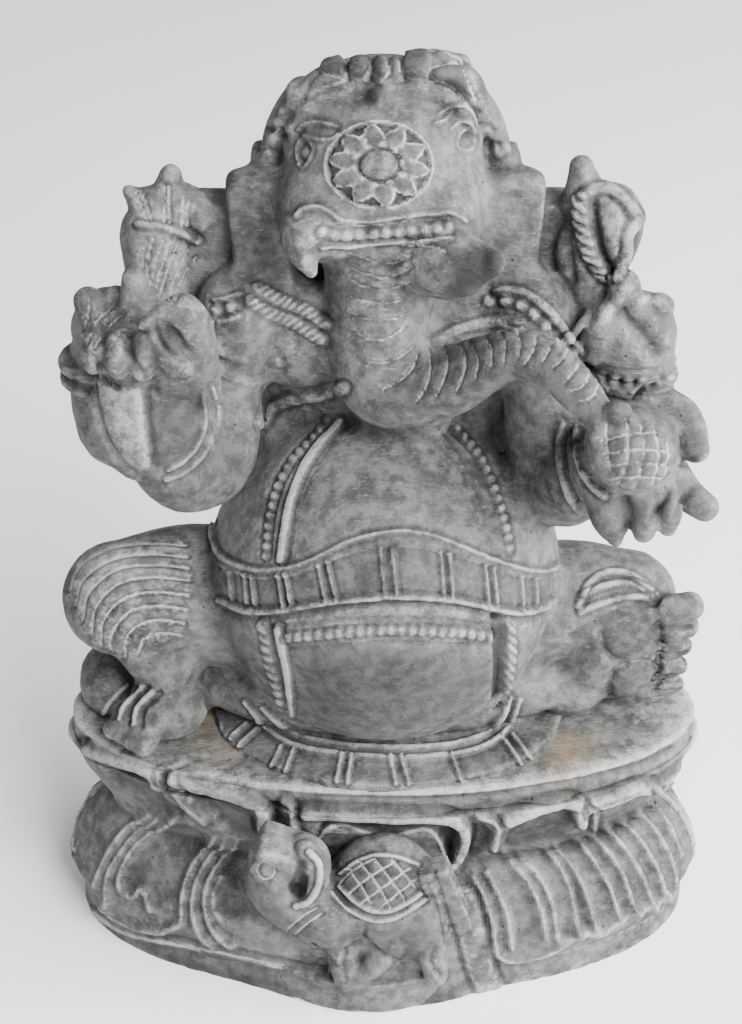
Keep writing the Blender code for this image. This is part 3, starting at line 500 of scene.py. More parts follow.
class Carving:
    """A fine skin under the chisel: where each point lies, how far it is to be raised, and its marks."""

    def __init__(self, mesh):
        self.mesh = mesh
        count = len(mesh.vertices)
        flat = np.empty(count * 3, dtype=np.float32)
        mesh.vertices.foreach_get("co", flat)
        self.place = flat.reshape(-1, 3).astype(float) / MM
        pairs = np.empty(len(mesh.edges) * 2, dtype=np.int32)
        mesh.edges.foreach_get("vertices", pairs)
        self.pairs = pairs.reshape(-1, 2)
        self.degree = np.bincount(self.pairs.ravel(), minlength=count).clip(1)
        self.lift = np.zeros(count)
        # Colour marks: chalk in cuts and on worn stone together with painted highlights, painted shade
        # together with truly darker stone, and ochre dust
        self.marks = {name: np.zeros(count) for name in ("chalk_and_highlight", "shade_and_dark_tone", "ochre")}
        self.find_normals()
        self.find_seen()

    def mean_of_neighbours(self, values):
        """Average of a quantity over each point's neighbours."""
        a, b = self.pairs.T
        columns = values if values.ndim == 2 else values[:, None]
        out = np.empty_like(columns, dtype=float)
        for i in range(columns.shape[1]):
            out[:, i] = np.bincount(a, columns[b, i], len(columns))
            out[:, i] += np.bincount(b, columns[a, i], len(columns))
        out /= self.degree[:, None]
        return out if values.ndim == 2 else out[:, 0]

    def blurred(self, values, rounds):
        """A quantity smoothed over the surface."""
        for _ in range(rounds):
            values = 0.5 * values + 0.5 * self.mean_of_neighbours(values)
        return values

    def find_normals(self):
        """Directions out of the surface, smoothed so that cuts keep their shape."""
        flat = np.empty(len(self.place) * 3, dtype=np.float32)
        self.mesh.vertices.foreach_set("co", (self.place * MM).astype(np.float32).ravel())
        self.mesh.update()
        self.mesh.vertex_normals.foreach_get("vector", flat)
        out = self.blurred(flat.reshape(-1, 3).astype(float), 4)
        self.out = out / np.linalg.norm(out, axis=1)[:, None].clip(1e-9)

    def find_seen(self):
        """Where each point falls in the photograph, and which points the camera sees."""
        arm = self.place - EYE
        depth = arm[:, 1] * cos(LOOK_DOWN) - arm[:, 2] * sin(LOOK_DOWN)
        rise = arm[:, 1] * sin(LOOK_DOWN) + arm[:, 2] * cos(LOOK_DOWN)
        self.scale = FOCAL_PIXELS / depth
        u = PICTURE[0] / 2 + self.scale * arm[:, 0]
        v = PICTURE[1] / 2 - self.scale * rise
        facing = -(arm * self.out).sum(axis=1) / np.linalg.norm(arm, axis=1)
        columns, rows = int(PICTURE[0] / CELL_PIXELS) + 3, int(PICTURE[1] / CELL_PIXELS) + 3
        i = (u / CELL_PIXELS).astype(int).clip(0, columns - 2) + 1
        j = (v / CELL_PIXELS).astype(int).clip(0, rows - 2) + 1
        near = np.full((rows + 2, columns + 2), np.inf)
        np.minimum.at(near, (j, i), depth)
        spread = near.copy()
        for di, dj in ((0, 1), (0, -1), (1, 0), (-1, 0)):
            spread = np.minimum(spread, np.roll(near, (dj, di), axis=(0, 1)))
        slope = np.sqrt(1 / np.clip(facing, GRAZING, 1) ** 2 - 1)
        seen = (facing > GRAZING) & (depth < spread[j, i] + 2.0 + 1.2 * slope)
        self.seen = np.flatnonzero(seen)
        self.pixel = np.column_stack([u, v])
        self.seen_pixel = self.pixel[self.seen]

    def near(self, points, reach, steps=5):
        """Seen points within reach of a stroke: index, distance, signed side and place along, in mm."""
        path = smooth_path(points, steps)
        pad = reach * FOCAL_PIXELS / NEAREST_DEPTH
        box = np.all((self.seen_pixel > path.min(0) - pad) & (self.seen_pixel < path.max(0) + pad), axis=1)
        ids = self.seen[box]
        spot = self.seen_pixel[box]
        best = np.full(len(ids), np.inf)
        side = np.zeros(len(ids))
        along = np.zeros(len(ids))
        start = 0.0
        for a, b in zip(path[:-1], path[1:]):
            edge = b - a
            length = hypot(*edge)
            if length == 0:
                continue
            arm = spot - a
            share = np.clip(arm @ edge / length ** 2, 0, 1)
            gap = arm - share[:, None] * edge
            distance = np.hypot(gap[:, 0], gap[:, 1])
            closer = distance < best
            best[closer] = distance[closer]
            side[closer] = np.sign(edge[0] * gap[closer, 1] - edge[1] * gap[closer, 0])
            along[closer] = start + share[closer] * length
            start += length
        scale = self.scale[ids]
        best = best / scale
        keep = best < reach
        return ids[keep], best[keep], (side * best)[keep], (along / scale)[keep]

    def add(self, ids, lift, chalk_and_highlight=0.0, shade_and_dark_tone=0.0, ochre=0.0):
        """Raise points and mark them."""
        self.lift[ids] += lift
        for name, value in (("chalk_and_highlight", chalk_and_highlight), ("shade_and_dark_tone", shade_and_dark_tone), ("ochre", ochre)):
            self.marks[name][ids] = np.maximum(self.marks[name][ids], value)

    def ridge(self, points, width=2.4, height=0.9, chalk_and_highlight=0.4):
        """A softly rounded ridge."""
        ids, distance, _, _ = self.near(points, width * 1.3)
        profile = np.exp(-(2 * distance / width) ** 2)
        self.add(ids, height * profile, chalk_and_highlight * profile ** 4)

    def band(self, points, width=3.0, height=1.2, chalk_and_highlight=0.5):
        """A broad flat ridge with rounded edges."""
        ids, distance, _, _ = self.near(points, width * 0.5 + 1.6)
        flat = 1 / (1 + np.exp((distance - width * 0.5) / 0.22))
        cut = np.exp(-((distance - width * 0.5 - 0.8) / 0.6) ** 2)
        # Painted shade in the cut along each side
        self.add(ids, height * flat - 0.3 * cut, chalk_and_highlight * flat ** 3, 0.35 * cut)

    def groove(self, points, width=1.1, depth=0.7, chalk_and_highlight=0.8, shade_and_dark_tone=0.0):
        """A cut of the chisel."""
        ids, distance, _, _ = self.near(points, width * 1.4)
        profile = np.exp(-(1.8 * distance / width) ** 2)
        self.add(ids, -depth * profile, chalk_and_highlight * profile ** 3, shade_and_dark_tone * profile)

    def roll(self, points, width=2.0, height=0.8, trench=0.4, chalk_and_highlight=0.3):
        """A raised round strip with a cut along each side."""
        ids, distance, _, _ = self.near(points, width * 0.5 + 1.4)
        crown = np.sqrt(np.clip(1 - (2 * distance / width) ** 2, 0, 1))
        cut = np.exp(-((distance - width * 0.5 - 0.25) / 0.4) ** 2)
        # Painted shade in the trench along each side
        self.add(ids, height * crown - trench * cut, 0.6 * chalk_and_highlight * crown ** 2, 0.3 * cut)

    def fillet(self, points, width=2.0, height=0.6, trench=0.4, chalk_and_highlight=0.4):
        """A raised (or sunken) flat strip with crisp edges."""
        ids, distance, _, _ = self.near(points, width * 0.5 + 1.4)
        flat = 1 / (1 + np.exp((distance - width * 0.5) / 0.12))
        cut = np.exp(-((distance - width * 0.5 - 0.3) / 0.35) ** 2)
        # Painted shade in the cut along each edge
        self.add(ids, height * flat - trench * cut, 0.8 * chalk_and_highlight * flat ** 2, 0.3 * cut)

    def beads(self, points, size=2.2, height=1.0, pitch=2.4, trench=0.4):
        """A row of round beads in a shallow bed."""
        ids, distance, _, along = self.near(points, size * 0.5 + 1.0)
        shift = (along / pitch - np.round(along / pitch)) * pitch
        ball = np.sqrt(np.clip(1 - (2 * distance / size) ** 2 - (2 * shift / size) ** 2, 0, 1))
        bed = np.clip(1.2 - np.clip(distance - size * 0.5, 0, None) / 0.4, 0, 1)
        # Painted highlight on each bead's top and painted shade in the bed between them
        self.add(ids, height * ball - trench * bed, 0.35 * ball ** 3, 0.35 * (1 - ball) ** 2 * bed)

    def rope(self, points, width=2.2, height=0.9, pitch=1.8, slant=0.9, trench=0.3):
        """A twisted cord."""
        ids, distance, side, along = self.near(points, width * 0.5 + 1.0)
        crown = np.sqrt(np.clip(1 - (2 * distance / width) ** 2, 0, 1))
        phase = (along + slant * side) / pitch
        twist = np.exp(-((phase - np.round(phase)) / 0.17) ** 2) * (crown > 0)
        edge = np.exp(-((distance - width * 0.5 - 0.2) / 0.35) ** 2)
        # Painted shade in the twists and in the cut along each side
        self.add(ids, height * crown - 0.55 * height * twist - trench * edge, 0.3 * crown ** 2 * (1 - twist),
                 np.maximum(0.3 * twist, 0.3 * edge))

    def patch(self, outline, height, edge=0.5, chalk_and_highlight=0.0, shade_and_dark_tone=0.0, ochre=0.0):
        """Raise or sink the inside of a closed outline, with a slope at its edge."""
        ring = smooth_path((*outline, outline[0]), 4)
        ids, distance, _, _ = self.near(ring, 60, steps=1)
        spot = self.pixel[ids]
        inside = np.zeros(len(ids), dtype=bool)
        for (xa, ya), (xb, yb) in zip(ring[:-1], ring[1:]):
            if ya == yb:
                continue
            crosses = (ya > spot[:, 1]) != (yb > spot[:, 1])
            inside ^= crosses & (spot[:, 0] < (xb - xa) * (spot[:, 1] - ya) / (yb - ya) + xa)
        signed = np.where(inside, distance, -distance)
        share = 1 / (1 + np.exp(-np.clip(signed / (edge * 0.3), -30, 30)))
        self.add(ids, height * share, chalk_and_highlight * share, shade_and_dark_tone * share, ochre * share)

    def ring(self, centre, radius, width=1.0, height=-0.6, chalk_and_highlight=0.7):
        """A round cut or ridge at a pixel, its radius in pixels."""
        angles = np.linspace(0, 2 * pi, 25)
        points = [(centre[0] + radius * cos(a), centre[1] + radius * sin(a)) for a in angles]
        ids, distance, _, _ = self.near(points, width * 1.4, steps=1)
        profile = np.exp(-(1.8 * distance / width) ** 2)
        self.add(ids, height * profile, chalk_and_highlight * profile ** 3)

    def dome(self, centre, radius, height, shade_and_dark_tone=0.0):
        """A small round knob at a pixel, its radius in millimetres."""
        ids, distance, _, _ = self.near((centre, (centre[0] + 0.5, centre[1])), radius * 1.3)
        crown = np.sqrt(np.clip(1 - (distance / radius) ** 2, 0, 1))
        self.add(ids, height * crown, shade_and_dark_tone=shade_and_dark_tone * crown)

    def settle(self):
        """Move the points by what the strokes have added."""
        self.place += self.out * self.lift[:, None]
        self.lift[:] = 0
        self.find_normals()

    def weather(self, seed):
        """Uneven hand work, nicks on the edges, and what later tells worn edges from hollows, which get
        painted shade.
        """
        lumps = (0.22 * noise(self.place, 9.0, seed) + 0.10 * noise(self.place, 3.2, seed + 1)
                 + 0.05 * noise(self.place, 1.4, seed + 2))
        self.place += self.out * lumps[:, None]
        fine = self.blurred(self.place, 3)
        broad = self.blurred(fine, 14)
        bulge_fine = ((self.place - fine) * self.out).sum(axis=1)
        bulge_broad = ((fine - broad) * self.out).sum(axis=1)
        nick = np.clip(noise(self.place, 2.6, seed + 3) - 0.25, 0, 1) * np.clip(bulge_broad / 0.25, 0, 1)
        self.place -= self.out * (0.45 * nick)[:, None]
        self.edge = np.clip(bulge_broad / 0.30 + bulge_fine / 0.10, 0, 1)
        # Concave places, later darkened as painted shade
        self.shaded_hollow = np.clip(-bulge_broad / 0.35, 0, 1)

    def finished(self, limit):
        """The carved mesh with its colour marks, thinned to a number of triangles."""
        self.mesh.vertices.foreach_set("co", (self.place * MM).astype(np.float32).ravel())
        self.mesh.update()
        self.marks["edge"] = self.edge
        self.marks["shaded_hollow"] = self.shaded_hollow
        for name, values in self.marks.items():
            layer = self.mesh.attributes.new(name, "FLOAT", "POINT")
            layer.data.foreach_set("value", values.astype(np.float32))
        facets = sum(len(face.vertices) - 2 for face in self.mesh.polygons)
        if facets <= limit:
            return self.mesh
        holder = bpy.data.objects.new("thinning", self.mesh)
        thin = holder.modifiers.new("thin", "DECIMATE")
        thin.ratio = limit / facets
        thin.use_collapse_triangulate = True
        return taken(holder)


def hoop(clay, centre, radii, thickness, turn=(0, 0, 0)):
    """A ring about a limb: an ellipse turned by degrees about X, Y and Z."""
    spin = Euler([radians(angle) for angle in turn]).to_matrix()
    points = []
    for angle in np.radians(np.linspace(0, 360, 33)):
        point = Vector(centre) + spin @ Vector((radii[0] * cos(angle), radii[1] * sin(angle), 0))
        points.append((*point, thickness))
    clay.limb(*points, steps=1)


def mirrored(side, *points):
    """Rows of numbers with X turned to the given side."""
    return [(side * point[0], *point[1:]) for point in points]


def block_out_body(clay):
    """Belly, chest, back, shoulders and lap."""
    clay.ball((0, 5, 41.5), (40, 36, 38), detail=5)
    clay.ball((0, 4, 31), (37, 33, 30), detail=5)
    clay.ball((0, 20, 90), (31, 14, 25), detail=4)
    clay.ball((0, 21, 60), (34, 14, 46), detail=4)
    clay.ball((0, 8, 10), (50, 23, 12), detail=4)
    for side in (LEFT, RIGHT):
        clay.ball((side * 18, 10, 100), (14, 9, 13))
        clay.ball((side * 30, 10, 106), (10, 10, 11))
    clay.block((0, 21, 120), (56, 12, 34))


def block_out_head(clay):
    """Skull, cheeks, ears, crown of locks and the root of the trunk."""
    clay.ball((-1, 16, 135), (21.5, 20, 20.5), detail=4)
    clay.ball((-1, 8, 132), (18, 13, 14))
    clay.ball((-1, 4.5, 129.5), (15, 11, 8))
    for side in (LEFT, RIGHT):
        clay.ball((side * 13.5 - 1, 6, 131), (7.5, 10, 11))
        clay.block((side * 25.8, 11, 124), (12.2, 9, 24), (0, side * 4, 0))
        clay.ball((side * 26.6, 11, 135), (6.0, 4.4, 3.0))
        clay.limb(*mirrored(side, (22.5, 18, 135, 3.8), (20.8, 19, 143, 3.9), (17, 21, 150, 3.4)))
    clay.ball((-1, 23, 144), (17.5, 13, 12.5))


def block_out_trunk(clay):
    """The trunk: down over the chest, round on the belly and up to the sweet."""
    clay.ball((-0.5, 7, 131), (13.5, 12, 10))
    clay.limb((-0.5, 8, 128.5, 12.6), (-1, 6.5, 115.5, 11.8), (-1, 5, 104, 11.4), (0, 2.5, 94.5, 11.0),
              (6, -1.5, 94.6, 9.5), (13, -5, 97.3, 7.6), (20, -9, 103.5, 6.1), (27, -13, 108.6, 5.2),
              (33, -17, 108.3, 4.8), (38, -21.5, 105.2, 4.4), (42, -25, 101.5, 3.8), steps=8)
    clay.limb((0, 8, 86, 8), (8, 4, 84, 7))


def block_out_arms(clay):
    """Two arms a side: the front pair holds a palm and a sweet, the rear pair rises behind."""
    clay.limb((-30, 8, 107, 10), (-35, 6, 92, 9.6), (-38, 0, 76, 10.5), (-43, -4, 76, 10.5),
              (-47, -8, 86, 9.8))
    clay.limb((-30, 14, 105, 9), (-44, 14, 89, 8.5), (-57, 11, 75, 9.5), (-61, 10, 83, 7.4),
              (-60, 9, 97, 7.2))
    clay.limb((30, 8, 106, 10), (34, 6, 90, 9.5), (37.5, 3, 68, 10), (41, -3, 71, 9.5), (45, -9, 79, 9))
    clay.limb((31, 14, 104, 9), (42, 15, 89, 8.5), (51, 11, 74, 9), (53.5, 8, 84, 7.6), (53, 7, 97, 7.4))


def block_out_legs(clay):
    """Bent legs: a draped knee over its foot on one side, a foot's sole shown on the other."""
    clay.limb((-26, 12, 24, 18), (-44, 6, 33, 16), (-60.5, 0, 36, 13.2))
    clay.limb((-56, 0, 32, 11), (-50, -4, 20, 8.5))
    clay.ball((-50, -6, 10), (9.5, 10, 9))
    clay.ball((-56, -8, 6), (8, 7, 5))
    clay.ball((-65, 8, 5), (8.5, 11, 8))
    clay.limb((26, 12, 22, 17), (44, 10, 28, 14), (57, 8, 29.5, 11.5))
    clay.ball((56, 8, 16), (13, 9, 16))
    clay.ball((44, 6, 8), (10, 12, 9))
    clay.limb((47, 1, 9, 5), (50, 1, 20, 6.5), (54, 1, 30, 5))
    clay.ball((56, 1, 19), (9, 6, 14))


def model_tusks(clay):
    """The viewer's left tusk is broken short; the other ends in a blunt tip."""
    clay.limb((-10.5, -1, 131, 6.8), (-16.4, -4.6, 131.2, 5.0))
    clay.limb((-17, -5, 130.6, 4.3), (-16, -6.8, 127, 3.2), (-15, -7.4, 124.4, 1.6))
    clay.limb((8, 0, 124.6, 8.6), (13, -4.2, 124.6, 7.8), (17.4, -6.4, 125.3, 5.8), (20.6, -7.8, 126.4, 3.0))


def model_crown(clay):
    """Leaf-like locks lying round the top of the head, a drop between them and curls down the sides."""
    locks = (((-15.6, 14.5, 149.6), (3.2, 4.6, 6.0), -34), ((-10.8, 14.5, 153.8), (5.2, 5.5, 4.0), -22),
             ((-5, 14, 156.2), (4.6, 5.5, 4.0), -6), ((-0.3, 13, 156.6), (2.5, 5.4, 4.0), 0),
             ((3.4, 14.2, 155.9), (3.0, 5, 3.5), 0), ((8.6, 15, 156.0), (5.2, 6, 4.2), 4),
             ((12.6, 15.5, 153.2), (5.8, 6, 4.4), 30), ((16.2, 15.5, 148.8), (3.2, 5.0, 6.0), 30))
    for centre, radii, lean in locks:
        clay.ball(centre, radii, (0, lean, 0))
    clay.limb((-17.4, 14.4, 144.5, 3.8), (-15.6, 14.2, 149.8, 4.4), (-11, 13.8, 153.6, 4.8),
              (-4, 13.4, 155.2, 4.9), (3, 13.4, 155.2, 4.9), (9, 13.6, 156.0, 5.0), (13.8, 14, 153.8, 5.2),
              (16.4, 14.6, 149.4, 4.6), (17.4, 15, 144.5, 3.8))
    clay.limb((-18, 18, 143, 3.0), (-14, 19, 149, 3.4), (-6, 20, 152.5, 3.4), (6, 20, 153, 3.4),
              (13.4, 19, 150, 3.6), (18, 18, 143.5, 3.2))
    clay.limb((9.2, 20, 156.6, 2.8), (14.8, 21, 155.6, 2.3))
    clay.ball((-2, 8.8, 154.6), (1.7, 2.6, 3.2))
    for side in (LEFT, RIGHT):
        for place in range(5):
            share = place / 4
            clay.ball((side * (24.4 - 5 * share), 15.5, 137 + 11 * share), (2.6, 2.4, 2.0), detail=2)


def model_left_hands(clay):
    """The viewer's left: a raised palm in front and a fist with its attribute behind."""
    clay.ball((-48.5, -11, 91), (13, 7.5, 15.5), (0, -12, 0))
    clay.ball((-50.5, -10, 104), (8.5, 5, 6))
    clay.ball((-42, -12, 106), (6, 5, 9))
    clay.ball((-58.3, -15.5, 110.2), (2.7, 4.4, 4.2), (20, 0, 0))
    clay.ball((-53.3, -16.5, 110.4), (2.9, 4.8, 5.2), (20, 0, 0))
    clay.ball((-47.8, -16.8, 110.8), (3.3, 5.2, 6.0), (20, 8, 0))
    clay.ball((-52, -11, 107), (8, 4, 6))
    clay.limb((-38.5, -10, 100, 5.2), (-38.6, -13, 112, 5.0), (-39.8, -16, 118.8, 4.6))
    clay.limb((-40, -16, 119.6, 4.2), (-44.4, -18, 119.8, 2.5), (-47.6, -18.5, 118.8, 1.4))
    clay.limb((-44.6, -19.5, 116.4, 2.0), (-42.4, -20.8, 112.8, 2.8), (-40.2, -20, 109.4, 2.4))
    clay.ball((-58.5, 8, 102), (8, 7.5, 9.5))
    for x, z in ((-62, 110), (-56, 110)):
        clay.limb((x + 2, 6, z - 10, 3.2), (x + 1, 4.5, z - 4, 3.2), (x, 6, z, 3.2))
    clay.limb((-53, 5, 101, 3.6), (-51.5, 3, 109, 3.8), (-51, 4, 116, 3.2))
    clay.limb((-46, 6, 103, 4.5), (-47, 8, 113, 6.4), (-47.5, 9, 124, 7.2))
    clay.limb((-47, 10, 124, 5.6), (-49.5, 10.5, 129.8, 4.0), (-52.2, 11, 132.6, 1.5))
    clay.ball((-46.6, 10.5, 129.4), (5.4, 4.4, 4.6))
    clay.limb((-45, 10, 126, 6.0), (-43.6, 11.5, 136, 2.4))
    clay.ball((-43, 11, 128), (8, 5, 6.5))
    clay.block((-37, 15, 117), (15, 9, 25))


def model_right_hands(clay):
    """The viewer's right: a sweet on an open hand in front, a noose in the hand behind."""
    clay.ball((50, -17, 85), (11.5, 9, 9), (0, -10, 0))
    clay.ball((49, -25, 94.5), (9.6, 9.3, 9.3))
    clay.ball((57, -15, 91), (6, 6, 7))
    clay.ball((45.4, -27.5, 104.2), (3.0, 2.6, 2.4))
    clay.ball((42.2, -28.2, 99.6), (2.6, 2.6, 3.2))
    fingers = (((45, -20, 82, 5.2), (46.5, -24, 75.5, 4.2), (47.5, -25, 71, 1.6)),
               ((51, -22, 81, 4.4), (52.5, -26.5, 78, 3.6), (53, -27, 74.5, 2.2)),
               ((56, -21, 82, 4.2), (57.5, -26, 79, 3.2), (58, -26.5, 75.5, 2.0)),
               ((59, -17, 82, 4.4), (62.5, -21, 79.5, 3.5), (65.5, -23, 78, 3.2)),
               ((55, -14, 96.5, 5.2), (60, -17, 95.0, 4.6), (63.2, -19, 89.6, 3.0)))
    for finger in fingers:
        clay.limb(*finger)
    clay.ball((52, 6, 101), (9.5, 7.5, 11))
    clay.limb((45, 4, 100, 4), (44.5, 2, 105, 3.6), (46, 3, 109, 3))
    clay.limb((50, 4, 106, 3.8), (49, 4, 115, 3.4))
    clay.limb((54, 5, 105, 3.8), (57, 5, 109, 3.0))
    clay.ball((44, 9, 123), (8.6, 4.6, 13), (0, 14, 0))
    clay.ball((43, 9, 112), (5, 5, 9))
    clay.limb((41, 11, 130, 5.5), (39.5, 12, 137.5, 2.6))
    clay.limb((47, 8, 127, 4), (50.5, 9, 128, 2.6))
    clay.block((37, 15, 118), (15, 9, 23))


def model_feet(clay):
    """Toes of both feet."""
    for place in range(4):
        share = place / 3
        clay.limb((-55 + 7 * share, -8 - 4 * share, 13, 2.6), (-59.5 + 7 * share, -10 - 4.5 * share, 10, 2.6),
                  (-63 + 7.5 * share, -11 - 5 * share, 5.5, 2.6 + 0.6 * share))
    for place, size in enumerate((3.6, 3.2, 2.7, 2.5, 2.3)):
        height = 33.0 - 5.9 * place
        clay.limb((61, 0, height - 1, size), (66, -0.5, height, size),
                  (70 - 0.3 * place, 0, height + 0.4, size * 0.95))


def model_jewels(clay):
    """Bangles and armlets, all round the arms."""
    for radius, height in ((8.3, 90.5), (8.3, 94)):
        hoop(clay, (-60.5, 9, height), (radius, radius), 1.3)
    for height in (88.5, 95.5):
        hoop(clay, (53, 7.5, height), (8.4, 8.4), 0.9)
    hoop(clay, (53, 7.5, 92), (8.4, 8.4), 1.5)
    for side in (LEFT, RIGHT):
        for height in (103, 98):
            hoop(clay, (side * 34, 8, height), (10.8, 10.8), 0.9, (0, side * -35, 0))


def model_seat_cloth(clay):
    """The cloth spread under the figure, lying on the slab."""
    clay.disc((1, 1, -1), (41.5, 27), 3.0)
    clay.disc((1, 1, -1), (32, 20.5), 3.8)


def carve_head(stone):
    """Crown locks, brows, eyes, the rosette and the band at the trunk's root."""
    stone.groove(FOREHEAD_EDGE, 1.8, 1.3, 0.5)
    for plate in LOCK_PLATES:
        stone.patch(plate, 1.2, 0.5, shade_and_dark_tone=0.5)
    for cut in LOCK_CUTS:
        stone.groove(cut, 0.9, 0.8, 1.1)
    for cut in SIDE_LOCK_CUTS:
        stone.groove(cut, 1.3, 1.1, 0.5)
    for brow in BROWS:
        stone.roll(brow, 0.8, 0.3, 0.4, 0.5)
    for lid in BROW_FIELDS:
        # Painted shade in the sunk field under each brow
        stone.patch(lid, -0.3, 0.6, shade_and_dark_tone=0.2)
    for eye in EYES:
        # Painted shade in the sunk eye
        stone.patch(eye[:-1], -0.8, 0.8, shade_and_dark_tone=0.35)
        stone.roll(eye, 0.8, 0.3, 0.3, 0.6)
    for pupil in PUPILS:
        stone.dome(pupil, 1.2, 0.8)
    stone.patch(DROP, 0.3, 0.6, shade_and_dark_tone=0.9)
    carve_rosette(stone)
    stone.roll(BAND_TOP, 1.1, 0.3, 0.3, 0.5)
    stone.groove(BAND_LINE, 0.9, 0.6, 0.7)
    stone.beads(BAND_BEADS, 2.8, 0.8, 2.55, 0.5)
    stone.roll(BAND_FOOT, 1.1, 0.4, 0.5, 0.7)
    for edge in TRUNK_EDGES:
        stone.groove(edge, 0.9, 0.6, 0.9)
    stone.patch(TUSK_DARK, 0, 2.0, shade_and_dark_tone=1.0)
    stone.patch(TUSK_PALE, 0, 1.5, chalk_and_highlight=0.35)
    for ring in TRUNK_RINGS:
        stone.groove(ring, 0.9, 0.7, 0.95)
        stone.groove([(u, v - 4) for u, v in ring], 1.8, -0.25, 0)


def carve_rosette(stone):
    """A flower of pointed petals round a boss, in a ring, on the forehead."""
    ids, _, _, _ = stone.near(((ROSETTE_CENTRE[0] - 1, ROSETTE_CENTRE[1]), ROSETTE_CENTRE), 15)
    offset = (stone.pixel[ids] - ROSETTE_CENTRE) / ROSETTE_HALF
    radius = np.hypot(offset[:, 0], offset[:, 1])
    angle = np.arctan2(offset[:, 1], offset[:, 0])
    pitch = 2 * pi / ROSETTE_PETALS
    turn = (angle / pitch + 0.25) % 1.0 - 0.5
    sweep = np.abs(turn) * pitch * radius
    half = 0.5 * pitch * np.minimum(radius, 0.74) * np.clip((0.99 - radius) / 0.28, 0, 1) ** 0.6
    inward = half - sweep

    def line(value, width):
        return np.exp(-(value / width) ** 2)

    boss = np.sqrt(np.clip(1 - (radius / 0.36) ** 2, 0, 1))
    body = (radius > 0.40) & (radius < 0.97)
    petal = np.clip(inward / 0.08, 0, 1) * body
    outline = line(inward - 0.02, 0.028) * body
    cuts = np.maximum(line(radius - 0.385, 0.03), line(radius - 0.965, 0.02))
    rib = line(sweep, 0.02) * body * (radius < 0.8)
    ring = line(radius - 1.02, 0.024)
    shade = 0.3 * np.clip((inward - 0.05) / 0.05, 0, 1) * body + 0.35 * (body & (inward < -0.03))
    lift = 1.5 * boss + 0.35 * petal + 0.2 * outline + 0.25 * ring - 0.6 * (body & (inward < 0)) - 0.7 * cuts
    marks = np.maximum(np.maximum(0.75 * outline, 0.55 * ring), np.maximum(0.5 * rib, 0.3 * cuts))
    stone.add(ids, lift, marks, shade)


def carve_chest(stone):
    """Breast, necklace, scarf and the bands on the upper arms."""
    for centre, radius in CHEST_RINGS:
        stone.ring(centre, radius, 1.2, -0.4, 0.5)
    for row in NECKLACE:
        stone.rope(row, 3.0, 0.7, 1.5, 0.5)
    stone.roll(SCARF, 2.6, 0.7)
    stone.roll(SHOULDER_BAND, 2.2, 0.7)
    stone.beads(SHOULDER_BEADS, 3.0, 1.0, 3.4)
    stone.beads(ARMLET, 3.0, 0.9, 3.4)
    for line in ARMLET_LINES:
        stone.roll(line, 1.3, 0.5)
    stone.roll(BREAST_FOLD, 3.0, 0.8)


def carve_belly(stone):
    """Two sashes, the boxed belt, and the apron with its beaded hem and side strips."""
    for sash in SASHES:
        stone.beads(sash, 2.2, 0.7, 2.2, 0.5)
    stone.fillet(SASH_FILLETS[0], 1.8, 0.5, 0.5, 0.7)
    stone.fillet(SASH_FILLETS[1], 1.8, -0.5, 0.3, 0.2)
    for edge in PANEL_EDGES:
        stone.groove(edge, 1.0, 0.4, 0.5)
    stone.patch((*BELT_TOP, *reversed(BELT_TOP_LINE)), 0.5, 0.6, shade_and_dark_tone=0.25)
    stone.roll(BELT_TOP, 1.2, 0.5, 0.5, 0.6)
    stone.groove(BELT_TOP_LINE, 0.9, 0.5, 0.5)
    belt = (*BELT_TOP_LINE, *reversed(BELT_FOOT))
    stone.patch(belt, -0.5, 0.6, shade_and_dark_tone=0.35)
    for ua, va, ub, vb in BOX_POSTS:
        stone.roll(((ua, va), (ub, vb)), 1.0, 0.6, 0.35, 0.6)
    stone.roll(BELT_FOOT, 1.6, 0.7, 0.4, 0.6)
    stone.groove(BELT_FOOT_LINE, 1.1, 0.9, 0.2)
    stone.beads(HEM_BEADS, 2.7, 1.0, 2.2, 0.5)
    for line in HEM_LINES:
        stone.groove(line, 0.9, 0.7, 0.4)
    for strip in STRIPS:
        stone.rope(strip, 2.4, 0.8, 2.1, 0.8)
    stone.fillet(STRIP_FILLETS[0], 1.7, 0.6, 0.4, 0.6)
    stone.fillet(STRIP_FILLETS[1], 2.4, -1.1, 0.0, 0.0)
    # Painted shade along the sunk strip
    stone.groove(STRIP_FILLETS[1], 2.4, 0.3, 0.0, 0.8)
    # Painted shade on the downward-facing apron
    stone.patch(APRON_SHADE, 0, 3.0, shade_and_dark_tone=0.6)
    stone.dome(NAVEL, 4.0, -0.35)


